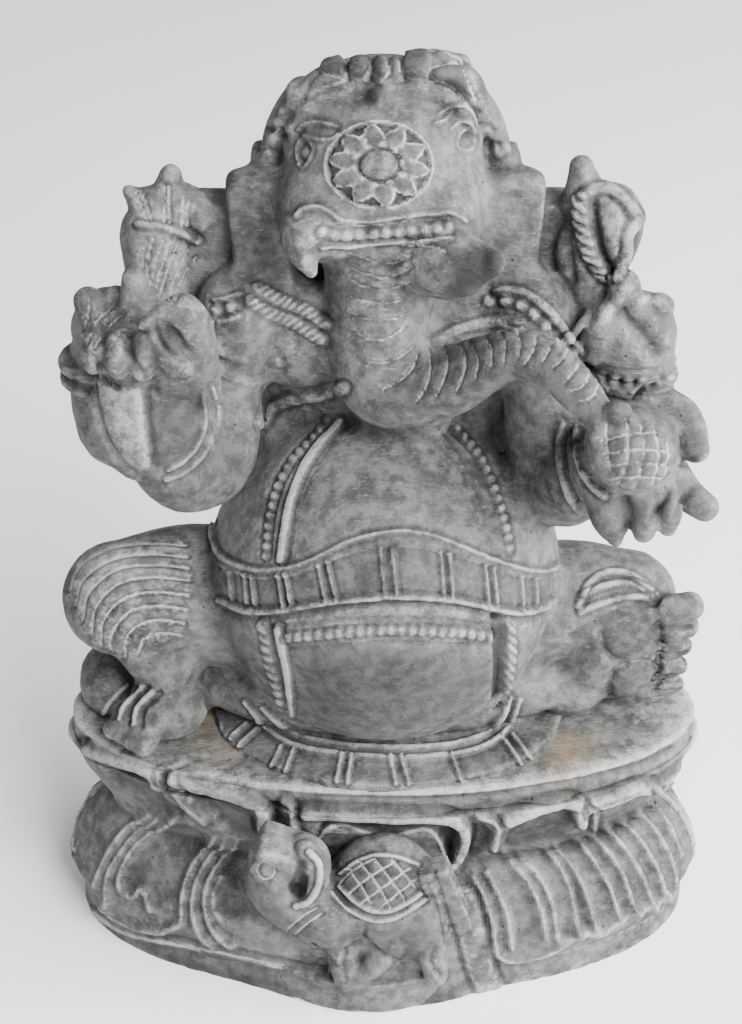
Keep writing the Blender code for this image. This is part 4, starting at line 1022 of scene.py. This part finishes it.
def carve_hands(stone):
    """Cuts between fingers, bangles, the fluted bundle, the noose, the sweet, darker patches of stone, and
    painted shade on parts in shade.
    """
    stone.groove(PALM_CREASE, 1.6, 1.4, 0.1)
    stone.groove(PALM_EDGE, 1.2, 0.9, 0.4)
    # Painted highlight on the lit side of the palm
    stone.patch(PALM_HIGHLIGHT, 0.3, 2.0, chalk_and_highlight=0.45)
    # Painted shade on the palm's other side, over its darker stone
    stone.patch(PALM_DARK, 0, 2.0, shade_and_dark_tone=0.6)
    # Painted shade on the facet by the thumb
    stone.patch(THUMB_FACET_SHADE, 0, 1.0, shade_and_dark_tone=0.8)
    for gap in FINGER_GAPS:
        stone.groove(gap, 1.2, 0.9, 0.0)
    for bangle in LEFT_BANGLES:
        stone.roll(bangle, 1.3, 0.4, 0.4, 0.6)
    # Painted shade in a sunk pocket beside the bundle
    stone.patch(BUNDLE_DARK, -0.6, 0.8, shade_and_dark_tone=0.5)
    for line in FIST_LINES:
        stone.groove(line, 1.0, 0.8, 0.9)
    stone.roll(BUNDLE_WAIST, 1.8, 0.8, 0.5, 0.4)
    for flute in BUNDLE_FLUTES + STEM_FLUTES:
        stone.groove(flute, 0.9, 0.8, 1.0)
    for bangle in REAR_LEFT_BANGLES:
        stone.groove(bangle, 1.0, 0.5, 0.3)
    stone.rope(NOOSE_ROPE, 3.6, 1.4, 2.3, 0.9)
    stone.roll(NOOSE_RIM, 2.6, 1.0, 0.4)
    # Painted shade in the hole of the noose's loop
    stone.patch(NOOSE_HOLE, -1.6, 0.7, shade_and_dark_tone=0.6)
    stone.patch(NOOSE_LEAF, 0.7, 0.8, chalk_and_highlight=0.3)
    stone.groove(NOOSE_BACK, 1.6, 1.0, 0.3)
    stone.groove(HAND_HOLLOW, 3.4, 2.2, 0.0)
    for line in REAR_RIGHT_LINES:
        stone.groove(line, 0.9, 0.5, 0.5)
    stone.beads(REAR_RIGHT_BEADS, 2.6, 0.8, 3.0)
    # Painted shade on parts of the figure that lie in shade
    for shade, depth in SHADES:
        stone.patch(shade, 0, 3.0, shade_and_dark_tone=depth)
    stone.patch(TRUNK_DARK, 0, 2.5, shade_and_dark_tone=0.4)
    # Painted shade over the fingers under the sweet
    stone.patch(FINGER_SHADE, 0, 2.5, shade_and_dark_tone=0.35)
    stone.patch(THUMB_SHADE, 0, 2.0, shade_and_dark_tone=0.55)
    for ridge in KNUCKLE_RIDGES:
        stone.ridge(ridge, 3.4, 1.2, 0.3)
    stone.patch(SWEET_DARK, 0, 2.0, shade_and_dark_tone=0.35)
    for line in SWEET_LINES:
        stone.groove(line, 0.8, 0.5, 1.0)
    for gap in RIGHT_FINGER_GAPS:
        stone.groove(gap, 1.5, 0.9, 0.0)
    # Painted shade in the sunk gaps between the fingers
    for gap in FINGER_GAP_SHADE:
        stone.patch(gap, -0.4, 1.0, shade_and_dark_tone=0.8)
    for bangle in RIGHT_BANGLES:
        stone.roll(bangle, 1.8, 0.9, 0.5, 0.4)


def carve_legs(stone):
    """Flutes over the knee, folds on the thigh, toes and the pads of the sole."""
    for flute in KNEE_FLUTES:
        stone.groove(flute, 1.2, 1.0, 1.1)
    for cut in CUFF_CUTS:
        stone.groove(cut, 1.0, 0.8, 0.5)
    for gap in LEFT_TOE_GAPS:
        stone.groove(gap, 1.5, 1.3, 0.1)
    for top in LEFT_TOE_TOPS:
        stone.roll(top, 1.6, 0.5, 0.0, 0.9)
    for fold in THIGH_FOLDS:
        stone.roll(fold, 1.8, 0.6, 0.4, 0.5)
    stone.groove(SOLE_TOP, 2.0, 1.6, 0.1)
    for cut in SOLE_CUTS:
        stone.groove(cut, 1.5, 1.1, 0.5)
    for gap in TOE_GAPS:
        stone.groove(gap, 1.5, 1.5, 0.2)


def carve_seat_cloth(stone):
    """The boxed border of the cloth on the slab."""
    stone.groove(CLOTH_EDGE, 1.2, 0.6, 0.5)
    for fold in CLOTH_FOLDS:
        stone.roll(fold, 1.5, 0.7, 0.4, 0.7)
    for ua, va, ub, vb in CLOTH_POSTS:
        stone.roll(((ua, va), (ub, vb)), 1.2, 0.7, 0.4, 0.7)


def build_figure(sizes):
    """The whole figure above the slab as one finely carved mesh."""
    clay = Clay(PEDESTAL_TOP)
    for form in (block_out_body, block_out_head, block_out_trunk, block_out_arms, block_out_legs):
        form(clay)
    blocked = clay.skin("blocked_out", sizes.grain * 2, 6)
    clay = Clay(PEDESTAL_TOP)
    clay.take(blocked)
    for form in (model_tusks, model_crown, model_left_hands, model_right_hands, model_feet, model_jewels,
                 model_seat_cloth):
        form(clay)
    stone = Carving(clay.skin("figure", sizes.grain, 3))
    for carve in (carve_head, carve_chest, carve_belly, carve_hands, carve_legs, carve_seat_cloth):
        carve(stone)
    stone.settle()
    stone.weather(FIGURE_SEED)
    return stone.finished(sizes.facets)


# The pedestal's heights, girth and relief in millimetres; its profile as rows of height, half width,
# half depth and how far back its middle lies; and where its petals meet, in degrees from the front
RIM_HEIGHT = 6.2
FOOT_HEIGHT = 9.0
WAIST_HEIGHT = 33.5
PEDESTAL_GIRTH = 360.0
LOWER_RELIEF = 2.4
UPPER_RELIEF = 2.6
PLAIN_SWELL = 1.2
MOUSE_LEDGE = 4.0
PEDESTAL_PROFILE = ((0, 76.5, 35.5, 1), (9, 76.2, 35.2, 1), (9.5, 75.5, 34.6, 1.3), (14, 77.4, 36.0, 1.8),
                    (20, 76.0, 35.2, 2.6), (27, 72.6, 31.8, 3.4), (33.5, 66.5, 25.8, 4), (38, 67.6, 27.2, 4),
                    (43, 70.4, 29.2, 4), (48, 73.0, 30.6, 4), (53.0, 74.2, 30.8, 4), (53.8, 74.0, 30.6, 4),
                    (54.2, 75.0, 31.0, 4), (59.3, 75.0, 31.0, 4), (59.75, 74.5, 30.5, 4), (60, 73.4, 29.4, 4))
LOWER_EDGES = (-77, -57, -37, -19, -2, 15.5, 31, 47, 67, 87, 107, 127, 147, 167, 187, 207, 227, 245, 264)
UPPER_EDGES = (-71, -38, -14.5, 17.5, 44, 80, 115, 150, 185, 220, 254)

# Columns of points round the pedestal: how much closer than the grain, and how many at most
COLUMN_CLOSENESS = 1.3
MOST_COLUMNS = 820


def between_edges(angle, edges):
    """Place between the two nearest petal edges, from -1 to 1."""
    turns = np.array([*edges, edges[0] + 360.0])
    degrees = (np.degrees(angle) - turns[0]) % 360.0 + turns[0]
    slot = np.clip(np.searchsorted(turns, degrees, side="right") - 1, 0, len(edges) - 1)
    span = turns[slot + 1] - turns[slot]
    return (degrees - turns[slot]) / span * 2 - 1


def ridge_line(value, centre, width):
    """A round ridge where a value passes a centre."""
    return np.exp(-((value - centre) / width) ** 2)


def lower_petal(across, along):
    """Relief and chalk of a hanging petal: nested raised outlines round a flat leaf with a notched tip."""
    notch = 0.10 * np.exp(-(across / 0.16) ** 2)
    tip = np.clip((along + notch - 0.35) / 0.65, 0, None)
    side = np.abs(across) / 0.97
    reach = (side ** 2.8 + tip ** 2.8) ** (1 / 2.8)
    leaf = 0.45 * np.clip((1.0 - reach) / 0.06, 0, 1)
    ridges = (ridge_line(reach, 0.93, 0.045) + 0.8 * ridge_line(reach, 0.76, 0.045)
              + 0.7 * ridge_line(reach, 0.59, 0.045))
    cuts = np.maximum(ridge_line(reach, 0.845, 0.035), ridge_line(reach, 0.675, 0.035))
    gap = ridge_line(reach, 1.01, 0.04)
    swell = 0.25 * np.sqrt(np.clip(1 - reach ** 2, 0, 1))
    return leaf + swell + 0.45 * ridges - 0.35 * cuts - 0.4 * gap, np.maximum(0.75 * ridges, 0.3 * cuts)


def upper_petal(across, along):
    """Relief and chalk of a rising petal: a thick rolled lip, a bracket-shaped inner line, ribs between."""
    half = 0.66 + 0.24 * np.clip(along, 0, 1) ** 0.6
    side = np.abs(across) / half
    top = np.clip((along - 0.15) / 0.85, 0, None)
    reach = (side ** 5 + top ** 5) ** 0.2
    strength = 0.45 + 0.55 * np.clip(along, 0, 1)
    lip = strength * np.sqrt(np.clip(1 - ((reach - 0.86) / 0.14) ** 2, 0, 1))
    bracket = 0.60 + 0.05 * np.cos(across / half * 2.6 * pi)
    inner = 0.35 * np.clip((bracket - reach) / 0.05, 0, 1)
    ribs = ridge_line(np.abs(across), 1.0, 0.03) + ridge_line(np.abs(across), 0.90, 0.03) * (reach > 1.0)
    cuts = np.maximum(ridge_line(reach, bracket + 0.03, 0.03), ridge_line(reach, 1.03, 0.03))
    return 1.2 * lip + inner + 0.6 * ribs - 0.35 * cuts, np.maximum(0.8 * lip * (along > 0.55), 0.6 * cuts)


def build_pedestal(sizes):
    """The oval pedestal: a loft of its profile, with the petals raised on it."""
    columns = min(int(COLUMN_CLOSENESS * PEDESTAL_GIRTH * MM / sizes.grain), MOST_COLUMNS)
    top = PEDESTAL_TOP / MM
    fascia = top - RIM_HEIGHT
    step = sizes.grain / MM * 0.95
    heights = np.array([0.0, 0.4, *np.linspace(1.0, FOOT_HEIGHT - 0.6, 14), FOOT_HEIGHT,
                        *np.linspace(FOOT_HEIGHT + 0.4, WAIST_HEIGHT - 0.2, int(24 / step)),
                        *np.linspace(WAIST_HEIGHT + 0.2, fascia - 0.3, int(20 / step)),
                        fascia, fascia + 0.5, *np.linspace(fascia + 1.0, top - 0.7, 8), top - 0.25, top])
    angle = np.linspace(0, 2 * pi, columns, endpoint=False)
    turn, level = np.meshgrid(angle, heights)
    keys = np.array(PEDESTAL_PROFILE, dtype=float)
    wide, deep, back = (np.interp(level, keys[:, 0], keys[:, i]) for i in (1, 2, 3))
    relief = np.zeros_like(level)
    chalk_and_highlight = np.zeros_like(level)
    facing = np.abs((np.degrees(turn) + 180) % 360 - 180)
    rear = np.clip((facing - 80) / 6, 0, 1)
    lower = (level > FOOT_HEIGHT) & (level < WAIST_HEIGHT)
    across = between_edges(turn, LOWER_EDGES)
    raised, marked = lower_petal(across, 1 - (level - FOOT_HEIGHT) / (WAIST_HEIGHT - FOOT_HEIGHT))
    relief = np.where(lower, LOWER_RELIEF * raised * rear + PLAIN_SWELL * (1 - rear), relief)
    chalk_and_highlight = np.where(lower, marked * rear, chalk_and_highlight)
    upper = (level > WAIST_HEIGHT) & (level < fascia)
    across = between_edges(turn, UPPER_EDGES)
    raised, marked = upper_petal(across, (level - WAIST_HEIGHT) / (fascia - WAIST_HEIGHT))
    relief = np.where(upper, UPPER_RELIEF * raised * rear + PLAIN_SWELL * (1 - rear), relief)
    chalk_and_highlight = np.where(upper, marked * rear, chalk_and_highlight)
    chalk_and_highlight = np.maximum(chalk_and_highlight, 0.6 * ridge_line(level, top - 0.3, 0.5))
    off_mouse = (np.degrees(turn) + 180) % 360 - 180 + 3
    bulge = MOUSE_LEDGE * np.exp(-(off_mouse / 19.0) ** 4) * np.clip(1 - level / 12, 0, 1)
    x = (wide + relief) * np.sin(turn)
    y = back - (deep + relief + bulge) * np.cos(turn)
    rows, count = level.shape
    place = np.column_stack([x.ravel(), y.ravel(), level.ravel()])
    index = np.arange(rows * count).reshape(rows, count)
    following = np.roll(index, -1, axis=1)
    quads = np.stack([index[:-1], following[:-1], following[1:], index[1:]], axis=-1).reshape(-1, 4)
    mesh = bpy.data.meshes.new("pedestal")
    cap_points, cap_faces = cap_rows(place, index, rows, count)
    place = np.vstack([place, cap_points])
    mesh.from_pydata((place * MM).tolist(), [], [*quads.tolist(), *cap_faces])
    mesh.update()
    stone = Carving(mesh)
    extra = len(place) - chalk_and_highlight.size
    stone.marks["chalk_and_highlight"] = np.concatenate([chalk_and_highlight.ravel(), np.zeros(extra)])
    carve_petals(stone)
    stone.settle()
    stone.weather(PEDESTAL_SEED)
    stone.place[:, 2] = stone.place[:, 2].clip(0, None)
    return stone.finished(sizes.facets)


def lay_dust(stone):
    """Ochre dust in two corners of the slab."""
    for patch in SLAB_DUST:
        stone.patch(patch, 0, 4.0, ochre=0.7)


def carve_petals(stone):
    """The petals that the photograph shows, on both rows, and the lines of the slab and the foot, with
    painted shade in hollows, on the fascia and on the plinth.
    """
    # Sunk panels under the petal lips, with painted shade
    for shaded_hollow in UPPER_HOLLOWS:
        stone.patch(shaded_hollow, -1.6, 0.9, shade_and_dark_tone=0.6)
    # Painted shade under the slab's rim
    for shade in FASCIA_SHADE:
        stone.patch(shade, 0, 1.5, shade_and_dark_tone=0.5)
    # Painted shade on the plinth's front
    stone.patch(PLINTH_SHADE, 0, 3.0, shade_and_dark_tone=0.75)
    stone.band(STRAP_FOOT, 6.4, 0.8, 0.15)
    for lip in UPPER_LIPS:
        stone.band(lip, 2.9, 1.7, 0.42)
    for ridge in UPPER_RIDGES:
        stone.band(ridge, 1.4, 0.9, 0.45)
    for line in UPPER_LINES:
        stone.ridge(line, 1.3, 0.5, 0.7)
    # Sunk leaf interiors with painted shade
    for leaf in LOWER_LEAVES:
        stone.patch(leaf, -0.5, 1.5, shade_and_dark_tone=0.3)
    for ridge in LOWER_RIDGES:
        stone.ridge(ridge, 2.2, 1.5, 0.28)
    for scallop in LOWER_SCALLOPS:
        stone.ridge(scallop, 2.4, 1.5, 0.35)
    stone.band(FOOT_RIM, 1.6, 0.4, 0.8)
    stone.groove(FOOT_EDGE, 1.6, 0.7, 0.6)
    # Painted shade in the cut lines of the slab
    for line in SLAB_LINES:
        stone.groove(line, 1.3, 0.8, 0.0, 0.6)
    lay_dust(stone)


def cap_rows(place, index, rows, count):
    """Rings of points that close the loft's top and underside."""
    points, faces = [], []
    start = rows * count
    for row, shares, flip in ((0, (0.6, 0.2), True), (rows - 1, (0.93, 0.85, 0.75, 0.6, 0.4, 0.2), False)):
        ring = place[index[row]]
        centre = ring.mean(axis=0)
        previous = index[row]
        for share in shares:
            points.append(centre + (ring - centre) * share)
            current = np.arange(start, start + count)
            start += count
            after = np.roll(previous, -1)
            beyond = np.roll(current, -1)
            quads = np.stack([previous, after, beyond, current], axis=-1)
            faces += (quads[:, ::-1] if flip else quads).tolist()
            previous = current
        points.append(centre[None, :])
        after = np.roll(previous, -1)
        fan = np.stack([previous, after, np.full(count, start)], axis=-1)
        faces += (fan[:, ::-1] if flip else fan).tolist()
        start += 1
    return np.vstack(points), faces


def model_mouse(clay):
    """The mouse at the front of the pedestal, in profile with its head raised."""
    clay.ball((0, -30, 30), (15, 9, 18))
    clay.ball((8, -31, 25), (9, 8, 14))
    clay.ball((0, -32, 41), (11, 6.5, 10))
    clay.limb((-25.0, -33.0, 49, 4.4), (-26, -33.5, 43, 6.2), (-23.4, -32.5, 35, 7.8),
              (-14, -31.5, 28, 10))
    clay.block((-23.4, -34, 48.2), (12.0, 9.4, 8.6), (10, 24, 0))
    clay.block((0, -31, 15), (27, 11, 13))
    clay.limb((-18, -35.5, 51, 2.4), (-15.4, -36.6, 47.4, 2.6), (-15.4, -37.4, 41, 2.6),
              (-18.6, -38, 37, 2.6), (-22, -37.6, 36, 2.2))
    clay.ball((-18.5, -33, 43), (6.5, 4.6, 10))
    clay.limb((-10, -35, 22, 4.4), (-9.6, -37.5, 14, 3.4), (-9, -38.5, 11, 3.0))
    clay.limb((2, -35, 20, 4.2), (-3, -38, 14, 3.0), (-8, -38.5, 11, 2.2))
    clay.limb((10, -34, 22, 4.4), (12, -37, 14, 3.4), (12.4, -38, 11.5, 3.0))
    clay.disc((-4, -24, 0.1), (25, 16.4), 9.6)
    clay.block((17, -32.2, 25), (7.2, 5, 46), (11, -15.5, 0))
    clay.block((13, -31, 25), (5, 4, 44), (11, -13, 0))


def carve_mouse(stone):
    """Saddle cloth, eye, muzzle and legs, with painted shade under the mouse's chest and belly."""
    for rim in SADDLE_RIMS:
        stone.roll(rim, 1.2, 0.5, 0.4, 0.8)
    for line in SADDLE_HATCH:
        stone.groove(line, 0.8, 0.5, 1.3)
    stone.patch(SADDLE_DARK, 0, 1.5, shade_and_dark_tone=0.35)
    stone.patch(MOUSE_BROW, 0.6, 0.7, chalk_and_highlight=0.15)
    stone.patch(MOUSE_CHEEK, 0.3, 0.8, shade_and_dark_tone=0.3)
    stone.ring(MOUSE_EYE, 9, 0.9, -0.5, 1.0)
    stone.dome(MOUSE_EYE, 1.3, 0.6)
    # Painted shade in the sunk muzzle
    stone.patch(MOUSE_MUZZLE, -1.2, 0.8, shade_and_dark_tone=0.6)
    stone.roll(MOUSE_BAND, 1.8, 0.5, 0.4, 0.9)
    for line in MOUSE_SHOULDER:
        stone.groove(line, 1.0, 0.6, 1.0)
    for edge in STRAP_EDGES:
        stone.groove(edge, 1.1, 0.8, 0.6)
    for leg in MOUSE_LEGS:
        stone.groove(leg, 1.3, 0.9, 0.2)
    # Painted shade under the mouse's chest and belly
    stone.patch(MOUSE_CHEST_SHADE, 0, 3.0, shade_and_dark_tone=0.5)
    stone.patch(MOUSE_BELLY_SHADE, 0, 2.5, shade_and_dark_tone=0.4)


def build_mouse(sizes):
    """The mouse in high relief, as a finely carved mesh."""
    clay = Clay()
    model_mouse(clay)
    stone = Carving(clay.skin("mouse", sizes.grain * 0.75, 4))
    carve_mouse(stone)
    stone.settle()
    stone.weather(MOUSE_SEED)
    stone.place[:, 2] = stone.place[:, 2].clip(0.05, None)
    return stone.finished(sizes.facets)


class Wire:
    """A shader socket that takes part in arithmetic by adding Math nodes."""

    def __init__(self, tree, socket):
        self.tree = tree
        self.socket = socket

    def calculate(self, operation, *others, clamp=False):
        node = self.tree.nodes.new("ShaderNodeMath")
        node.operation = operation
        node.use_clamp = clamp
        for socket, value in zip(node.inputs, others):
            if isinstance(value, Wire):
                self.tree.links.new(value.socket, socket)
            else:
                socket.default_value = value
        return Wire(self.tree, node.outputs[0])

    def __add__(self, other):
        return self.calculate("ADD", self, other)

    def __radd__(self, other):
        return self.calculate("ADD", other, self)

    def __sub__(self, other):
        return self.calculate("SUBTRACT", self, other)

    def __rsub__(self, other):
        return self.calculate("SUBTRACT", other, self)

    def __mul__(self, other):
        return self.calculate("MULTIPLY", self, other)

    def __rmul__(self, other):
        return self.calculate("MULTIPLY", other, self)

    def clamped(self):
        return self.calculate("ADD", self, 0.0, clamp=True)

    def stepped(self, low, high):
        """0 below low, 1 above high, smooth between."""
        node = self.tree.nodes.new("ShaderNodeMapRange")
        node.interpolation_type = "SMOOTHSTEP"
        self.tree.links.new(self.socket, node.inputs["Value"])
        node.inputs["From Min"].default_value = low
        node.inputs["From Max"].default_value = high
        return Wire(self.tree, node.outputs["Result"])


class Shader:
    """A node tree under construction."""

    def __init__(self, name):
        self.material = bpy.data.materials.new(name)
        self.material.use_nodes = True
        self.tree = self.material.node_tree
        self.surface = self.tree.nodes["Principled BSDF"]

    def node(self, kind, settings=None, output=0, **inputs):
        """Any other node: its settings first, then the values or links of its sockets."""
        made = self.tree.nodes.new(kind)
        for name, value in (settings or {}).items():
            setattr(made, name, value)
        for name, value in inputs.items():
            socket = made.inputs[name.replace("_", " ")]
            if isinstance(value, Wire):
                self.tree.links.new(value.socket, socket)
            else:
                socket.default_value = value
        return Wire(self.tree, made.outputs[output])

    def mark(self, name):
        """A colour mark stored on the mesh."""
        return self.node("ShaderNodeAttribute", {"attribute_name": name}, output="Fac")

    def mixed(self, share, first, second, way="MIX"):
        """One colour laid over another."""
        node = self.tree.nodes.new("ShaderNodeMix")
        node.data_type = "RGBA"
        node.blend_type = way
        for socket, value in ((node.inputs[0], share), (node.inputs[6], first), (node.inputs[7], second)):
            if isinstance(value, Wire):
                self.tree.links.new(value.socket, socket)
            else:
                socket.default_value = value
        return Wire(self.tree, node.outputs[2])

    def feed(self, socket, wire):
        self.tree.links.new(wire.socket, self.surface.inputs[socket])


def stone_shader(look):
    """Soft grey stone: mottled, chalky where it is cut or rubbed, brightened by painted highlights, and
    darkened by painted shade in hollows and shaded places and where the stone itself is darker.
    """
    shader = Shader("grey_stone_carved")
    place = shader.node("ShaderNodeTexCoord", output="Object")
    clouds = shader.node("ShaderNodeTexNoise", Vector=place, Scale=55.0, Detail=4.0, Roughness=0.6)
    mottle = shader.node("ShaderNodeTexNoise", Vector=place, Scale=330.0, Detail=5.0, Roughness=0.65)
    speckle = shader.node("ShaderNodeTexNoise", Vector=place, Scale=1500.0, Detail=3.0, Roughness=0.7)
    pits = shader.node("ShaderNodeTexVoronoi", {"feature": "F1"}, output="Distance", Vector=place,
                       Scale=260.0)
    stretched = shader.node("ShaderNodeMapping", Vector=place, Scale=(420.0, 1900.0, 1500.0),
                            Rotation=(0.3, 0.5, 0.4))
    scratches = shader.node("ShaderNodeTexNoise", Vector=stretched, Scale=1.0, Detail=2.0, Roughness=0.5)
    chalk_and_highlight = shader.mark("chalk_and_highlight")
    edge = shader.mark("edge")
    shaded_hollow = shader.mark("shaded_hollow")
    shade_and_dark_tone = shader.mark("shade_and_dark_tone")

    tone = (clouds.stepped(0.36, 0.66) * 0.45 + mottle.stepped(0.38, 0.64) * 0.55).clamped()
    colour = shader.mixed(tone, (*look.dark_stone, 1), (*look.pale_stone, 1))
    broken = (mottle - 0.5) * 1.1 + (speckle - 0.5) * 0.7
    # Pale mix: chalk in cuts, worn edges and painted highlights
    dust = (chalk_and_highlight * 0.78 + (edge * 0.34 + broken * 0.75) * (1 - shade_and_dark_tone)).stepped(0.24, 0.90)
    dust = (dust + scratches.stepped(0.60, 0.74) * 0.22 * (1 - shade_and_dark_tone)).clamped()
    # Painted shade: hollows and shaded patches darken towards near black, as does truly darker stone
    colour = shader.mixed((shaded_hollow * 0.45 + shade_and_dark_tone * 0.95).clamped(), colour, (*look.shade, 1))
    colour = shader.mixed(dust * 0.78, colour, (*look.chalk_and_highlight, 1))
    warm = (shader.mark("ochre") * (0.4 + mottle)).clamped()
    colour = shader.mixed(warm * 0.85, colour, (*look.dust, 1))
    hole = 1 - pits.stepped(0.02, 0.10)
    rare = clouds.stepped(0.50, 0.56) * hole
    colour = shader.mixed(rare * 0.7, colour, (*look.shade, 1))
    grain = speckle.stepped(0.25, 0.75)
    colour = shader.mixed(0.25, colour, shader.mixed(grain, (0.55, 0.55, 0.55, 1), (1, 1, 1, 1)), "MULTIPLY")
    shader.feed("Base Color", colour)
    shader.feed("Roughness", 0.62 + dust * 0.25)
    height = mottle * 0.5 + speckle * 0.35 + scratches * 0.5 - rare * 1.5
    bump = shader.node("ShaderNodeBump", Strength=0.7, Distance=0.0007, Height=height)
    shader.feed("Normal", bump)
    shader.surface.inputs["Specular IOR Level"].default_value = 0.18
    return shader.material


def floor_shader(look):
    """A smooth pale surface."""
    shader = Shader("pale_floor")
    shader.surface.inputs["Base Color"].default_value = (*look.floor, 1)
    shader.surface.inputs["Roughness"].default_value = 0.7
    return shader.material


def place_piece(name, mesh, material):
    """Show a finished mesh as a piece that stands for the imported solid."""
    mesh.name = name
    mesh.materials.clear()
    mesh.materials.append(material)
    piece = bpy.data.objects.new(name, mesh)
    bpy.context.scene.collection.objects.link(piece)
    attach(piece, "root")
    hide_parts(NODE)
    return piece


class StatueSizes(bpy.types.PropertyGroup):
    """How finely the stone is carved."""

    grain: FloatProperty(name="Grain", description="Distance between points of the carved skins",
                         default=0.00055, min=0.0003, max=0.004, subtype="DISTANCE")
    facets: IntProperty(name="Facets", description="Most triangles that one piece keeps",
                        default=195000, min=10000, max=199000)


class StoneLook(bpy.types.PropertyGroup):
    """Colours of the stone."""

    dark_stone: FloatVectorProperty(name="Dark stone", description="Rubbed and handled stone",
                                    default=(0.042, 0.043, 0.042), subtype="COLOR", size=3, min=0, max=1)
    pale_stone: FloatVectorProperty(name="Pale stone", description="Dry stone",
                                    default=(0.160, 0.162, 0.158), subtype="COLOR", size=3, min=0, max=1)
    # Chalk in cuts and on worn stone, and also the colour of the painted highlights
    chalk_and_highlight: FloatVectorProperty(name="Chalk", description="Freshly cut and worn stone",
                               default=(0.44, 0.44, 0.425), subtype="COLOR", size=3, min=0, max=1)
    dust: FloatVectorProperty(name="Dust", description="Ochre dust lying on the slab",
                              default=(0.27, 0.175, 0.09), subtype="COLOR", size=3, min=0, max=1)
    # Near black: dirt in pits, and painted shade in hollows and in shaded patches
    shade: FloatVectorProperty(name="Shade", description="Dirt in pits and hollows",
                               default=(0.008, 0.008, 0.0075), subtype="COLOR", size=3, min=0, max=1)


class StageLook(bpy.types.PropertyGroup):
    """The floor and its light."""

    floor: FloatVectorProperty(name="Floor", description="Colour of the floor", default=(0.92, 0.92, 0.92),
                               subtype="COLOR", size=3, min=0, max=1)
    key: FloatProperty(name="Key light", description="Power of the light from the upper right",
                       default=30.0, min=0, unit="POWER")
    wall: FloatProperty(name="Wall light", description="Power of the light thrown back from the front right",
                        default=38.0, min=0, unit="POWER")
    fill: FloatProperty(name="Fill light", description="Strength of the light from all round",
                        default=0.60, min=0)


class STATUE_OT_figure(bpy.types.Operator):
    """Carve the seated figure"""
    bl_idname = "statue.figure"
    bl_label = "Carve the figure"

    def execute(self, context):
        scene = context.scene
        stone = bpy.data.materials["grey_stone_carved"]
        place_piece("ganesha_figure", build_figure(scene.statue_sizes), stone)
        return {"FINISHED"}


class STATUE_OT_pedestal(bpy.types.Operator):
    """Carve the double lotus pedestal and the mouse before it"""
    bl_idname = "statue.pedestal"
    bl_label = "Carve the pedestal"

    def execute(self, context):
        scene = context.scene
        stone = bpy.data.materials["grey_stone_carved"]
        place_piece("lotus_pedestal", build_pedestal(scene.statue_sizes), stone)
        place_piece("mouse", build_mouse(scene.statue_sizes), stone)
        return {"FINISHED"}


class STATUE_OT_stone(bpy.types.Operator):
    """Make the stone's material"""
    bl_idname = "statue.stone"
    bl_label = "Make the stone"

    def execute(self, context):
        stone_shader(context.scene.statue_stone)
        return {"FINISHED"}


class STATUE_OT_stage(bpy.types.Operator):
    """Set the camera, the floor and the light"""
    bl_idname = "statue.stage"
    bl_label = "Set the stage"

    def execute(self, context):
        scene = context.scene
        look = scene.statue_stage
        lens = bpy.data.cameras.new("camera")
        lens.sensor_width = 36.0
        lens.lens = FOCAL_PIXELS / PICTURE[1] * lens.sensor_width
        lens.clip_start = 0.01
        camera = bpy.data.objects.new("camera", lens)
        camera.location = EYE * MM
        camera.rotation_euler = (pi / 2 - LOOK_DOWN, 0, 0)
        scene.collection.objects.link(camera)
        scene.camera = camera

        bpy.ops.mesh.primitive_plane_add(size=8.0, location=(0, 0, CAD_LOW.z))
        floor = context.object
        floor.name = "floor"
        floor.data.materials.append(floor_shader(look))

        world = bpy.data.worlds.new("soft_light")
        world.use_nodes = True
        background = world.node_tree.nodes["Background"]
        background.inputs["Color"].default_value = (0.94, 0.96, 1.0, 1)
        background.inputs["Strength"].default_value = look.fill
        scene.world = world
        self.area_light(scene, "window", (0.46, -0.66, 0.80), 0.55, look.key, (1.0, 0.99, 0.97))
        self.area_light(scene, "wall", (0.95, -0.18, 0.50), 0.8, look.wall, (1.0, 1.0, 1.0))
        return {"FINISHED"}

    def area_light(self, scene, name, place, size, power, colour):
        """A soft square light aimed at the figure."""
        lamp = bpy.data.lights.new(name, "AREA")
        lamp.size = size
        lamp.energy = power
        lamp.color = colour
        holder = bpy.data.objects.new(name, lamp)
        holder.location = place
        aim = Vector((0, 0, (CAD_LOW.z + CAD_HIGH.z) / 2)) - Vector(place)
        holder.rotation_euler = aim.to_track_quat("-Z", "Y").to_euler()
        scene.collection.objects.link(holder)


class STATUE_PT_panel(bpy.types.Panel):
    """Tools for the carved statue"""
    bl_idname = "STATUE_PT_panel"
    bl_label = "Carved statue"
    bl_space_type = "VIEW_3D"
    bl_region_type = "UI"
    bl_category = "Statue"

    def draw(self, context):
        scene = context.scene
        for group in (scene.statue_sizes, scene.statue_stone, scene.statue_stage):
            for name in group.__annotations__:
                self.layout.prop(group, name)
        for tool in STEPS:
            self.layout.operator(tool.bl_idname)


STEPS = (STATUE_OT_stone, STATUE_OT_stage, STATUE_OT_figure, STATUE_OT_pedestal)
CLASSES = (StatueSizes, StoneLook, StageLook, *STEPS, STATUE_PT_panel)


def register():
    for item in CLASSES:
        bpy.utils.register_class(item)
    bpy.types.Scene.statue_sizes = PointerProperty(type=StatueSizes)
    bpy.types.Scene.statue_stone = PointerProperty(type=StoneLook)
    bpy.types.Scene.statue_stage = PointerProperty(type=StageLook)


def unregister():
    del bpy.types.Scene.statue_stage
    del bpy.types.Scene.statue_stone
    del bpy.types.Scene.statue_sizes
    for item in reversed(CLASSES):
        bpy.utils.unregister_class(item)


def main():
    register()
    bpy.ops.statue.stone()
    bpy.ops.statue.stage()
    bpy.ops.statue.figure()
    bpy.ops.statue.pedestal()


if __name__ == "__main__":
    main()
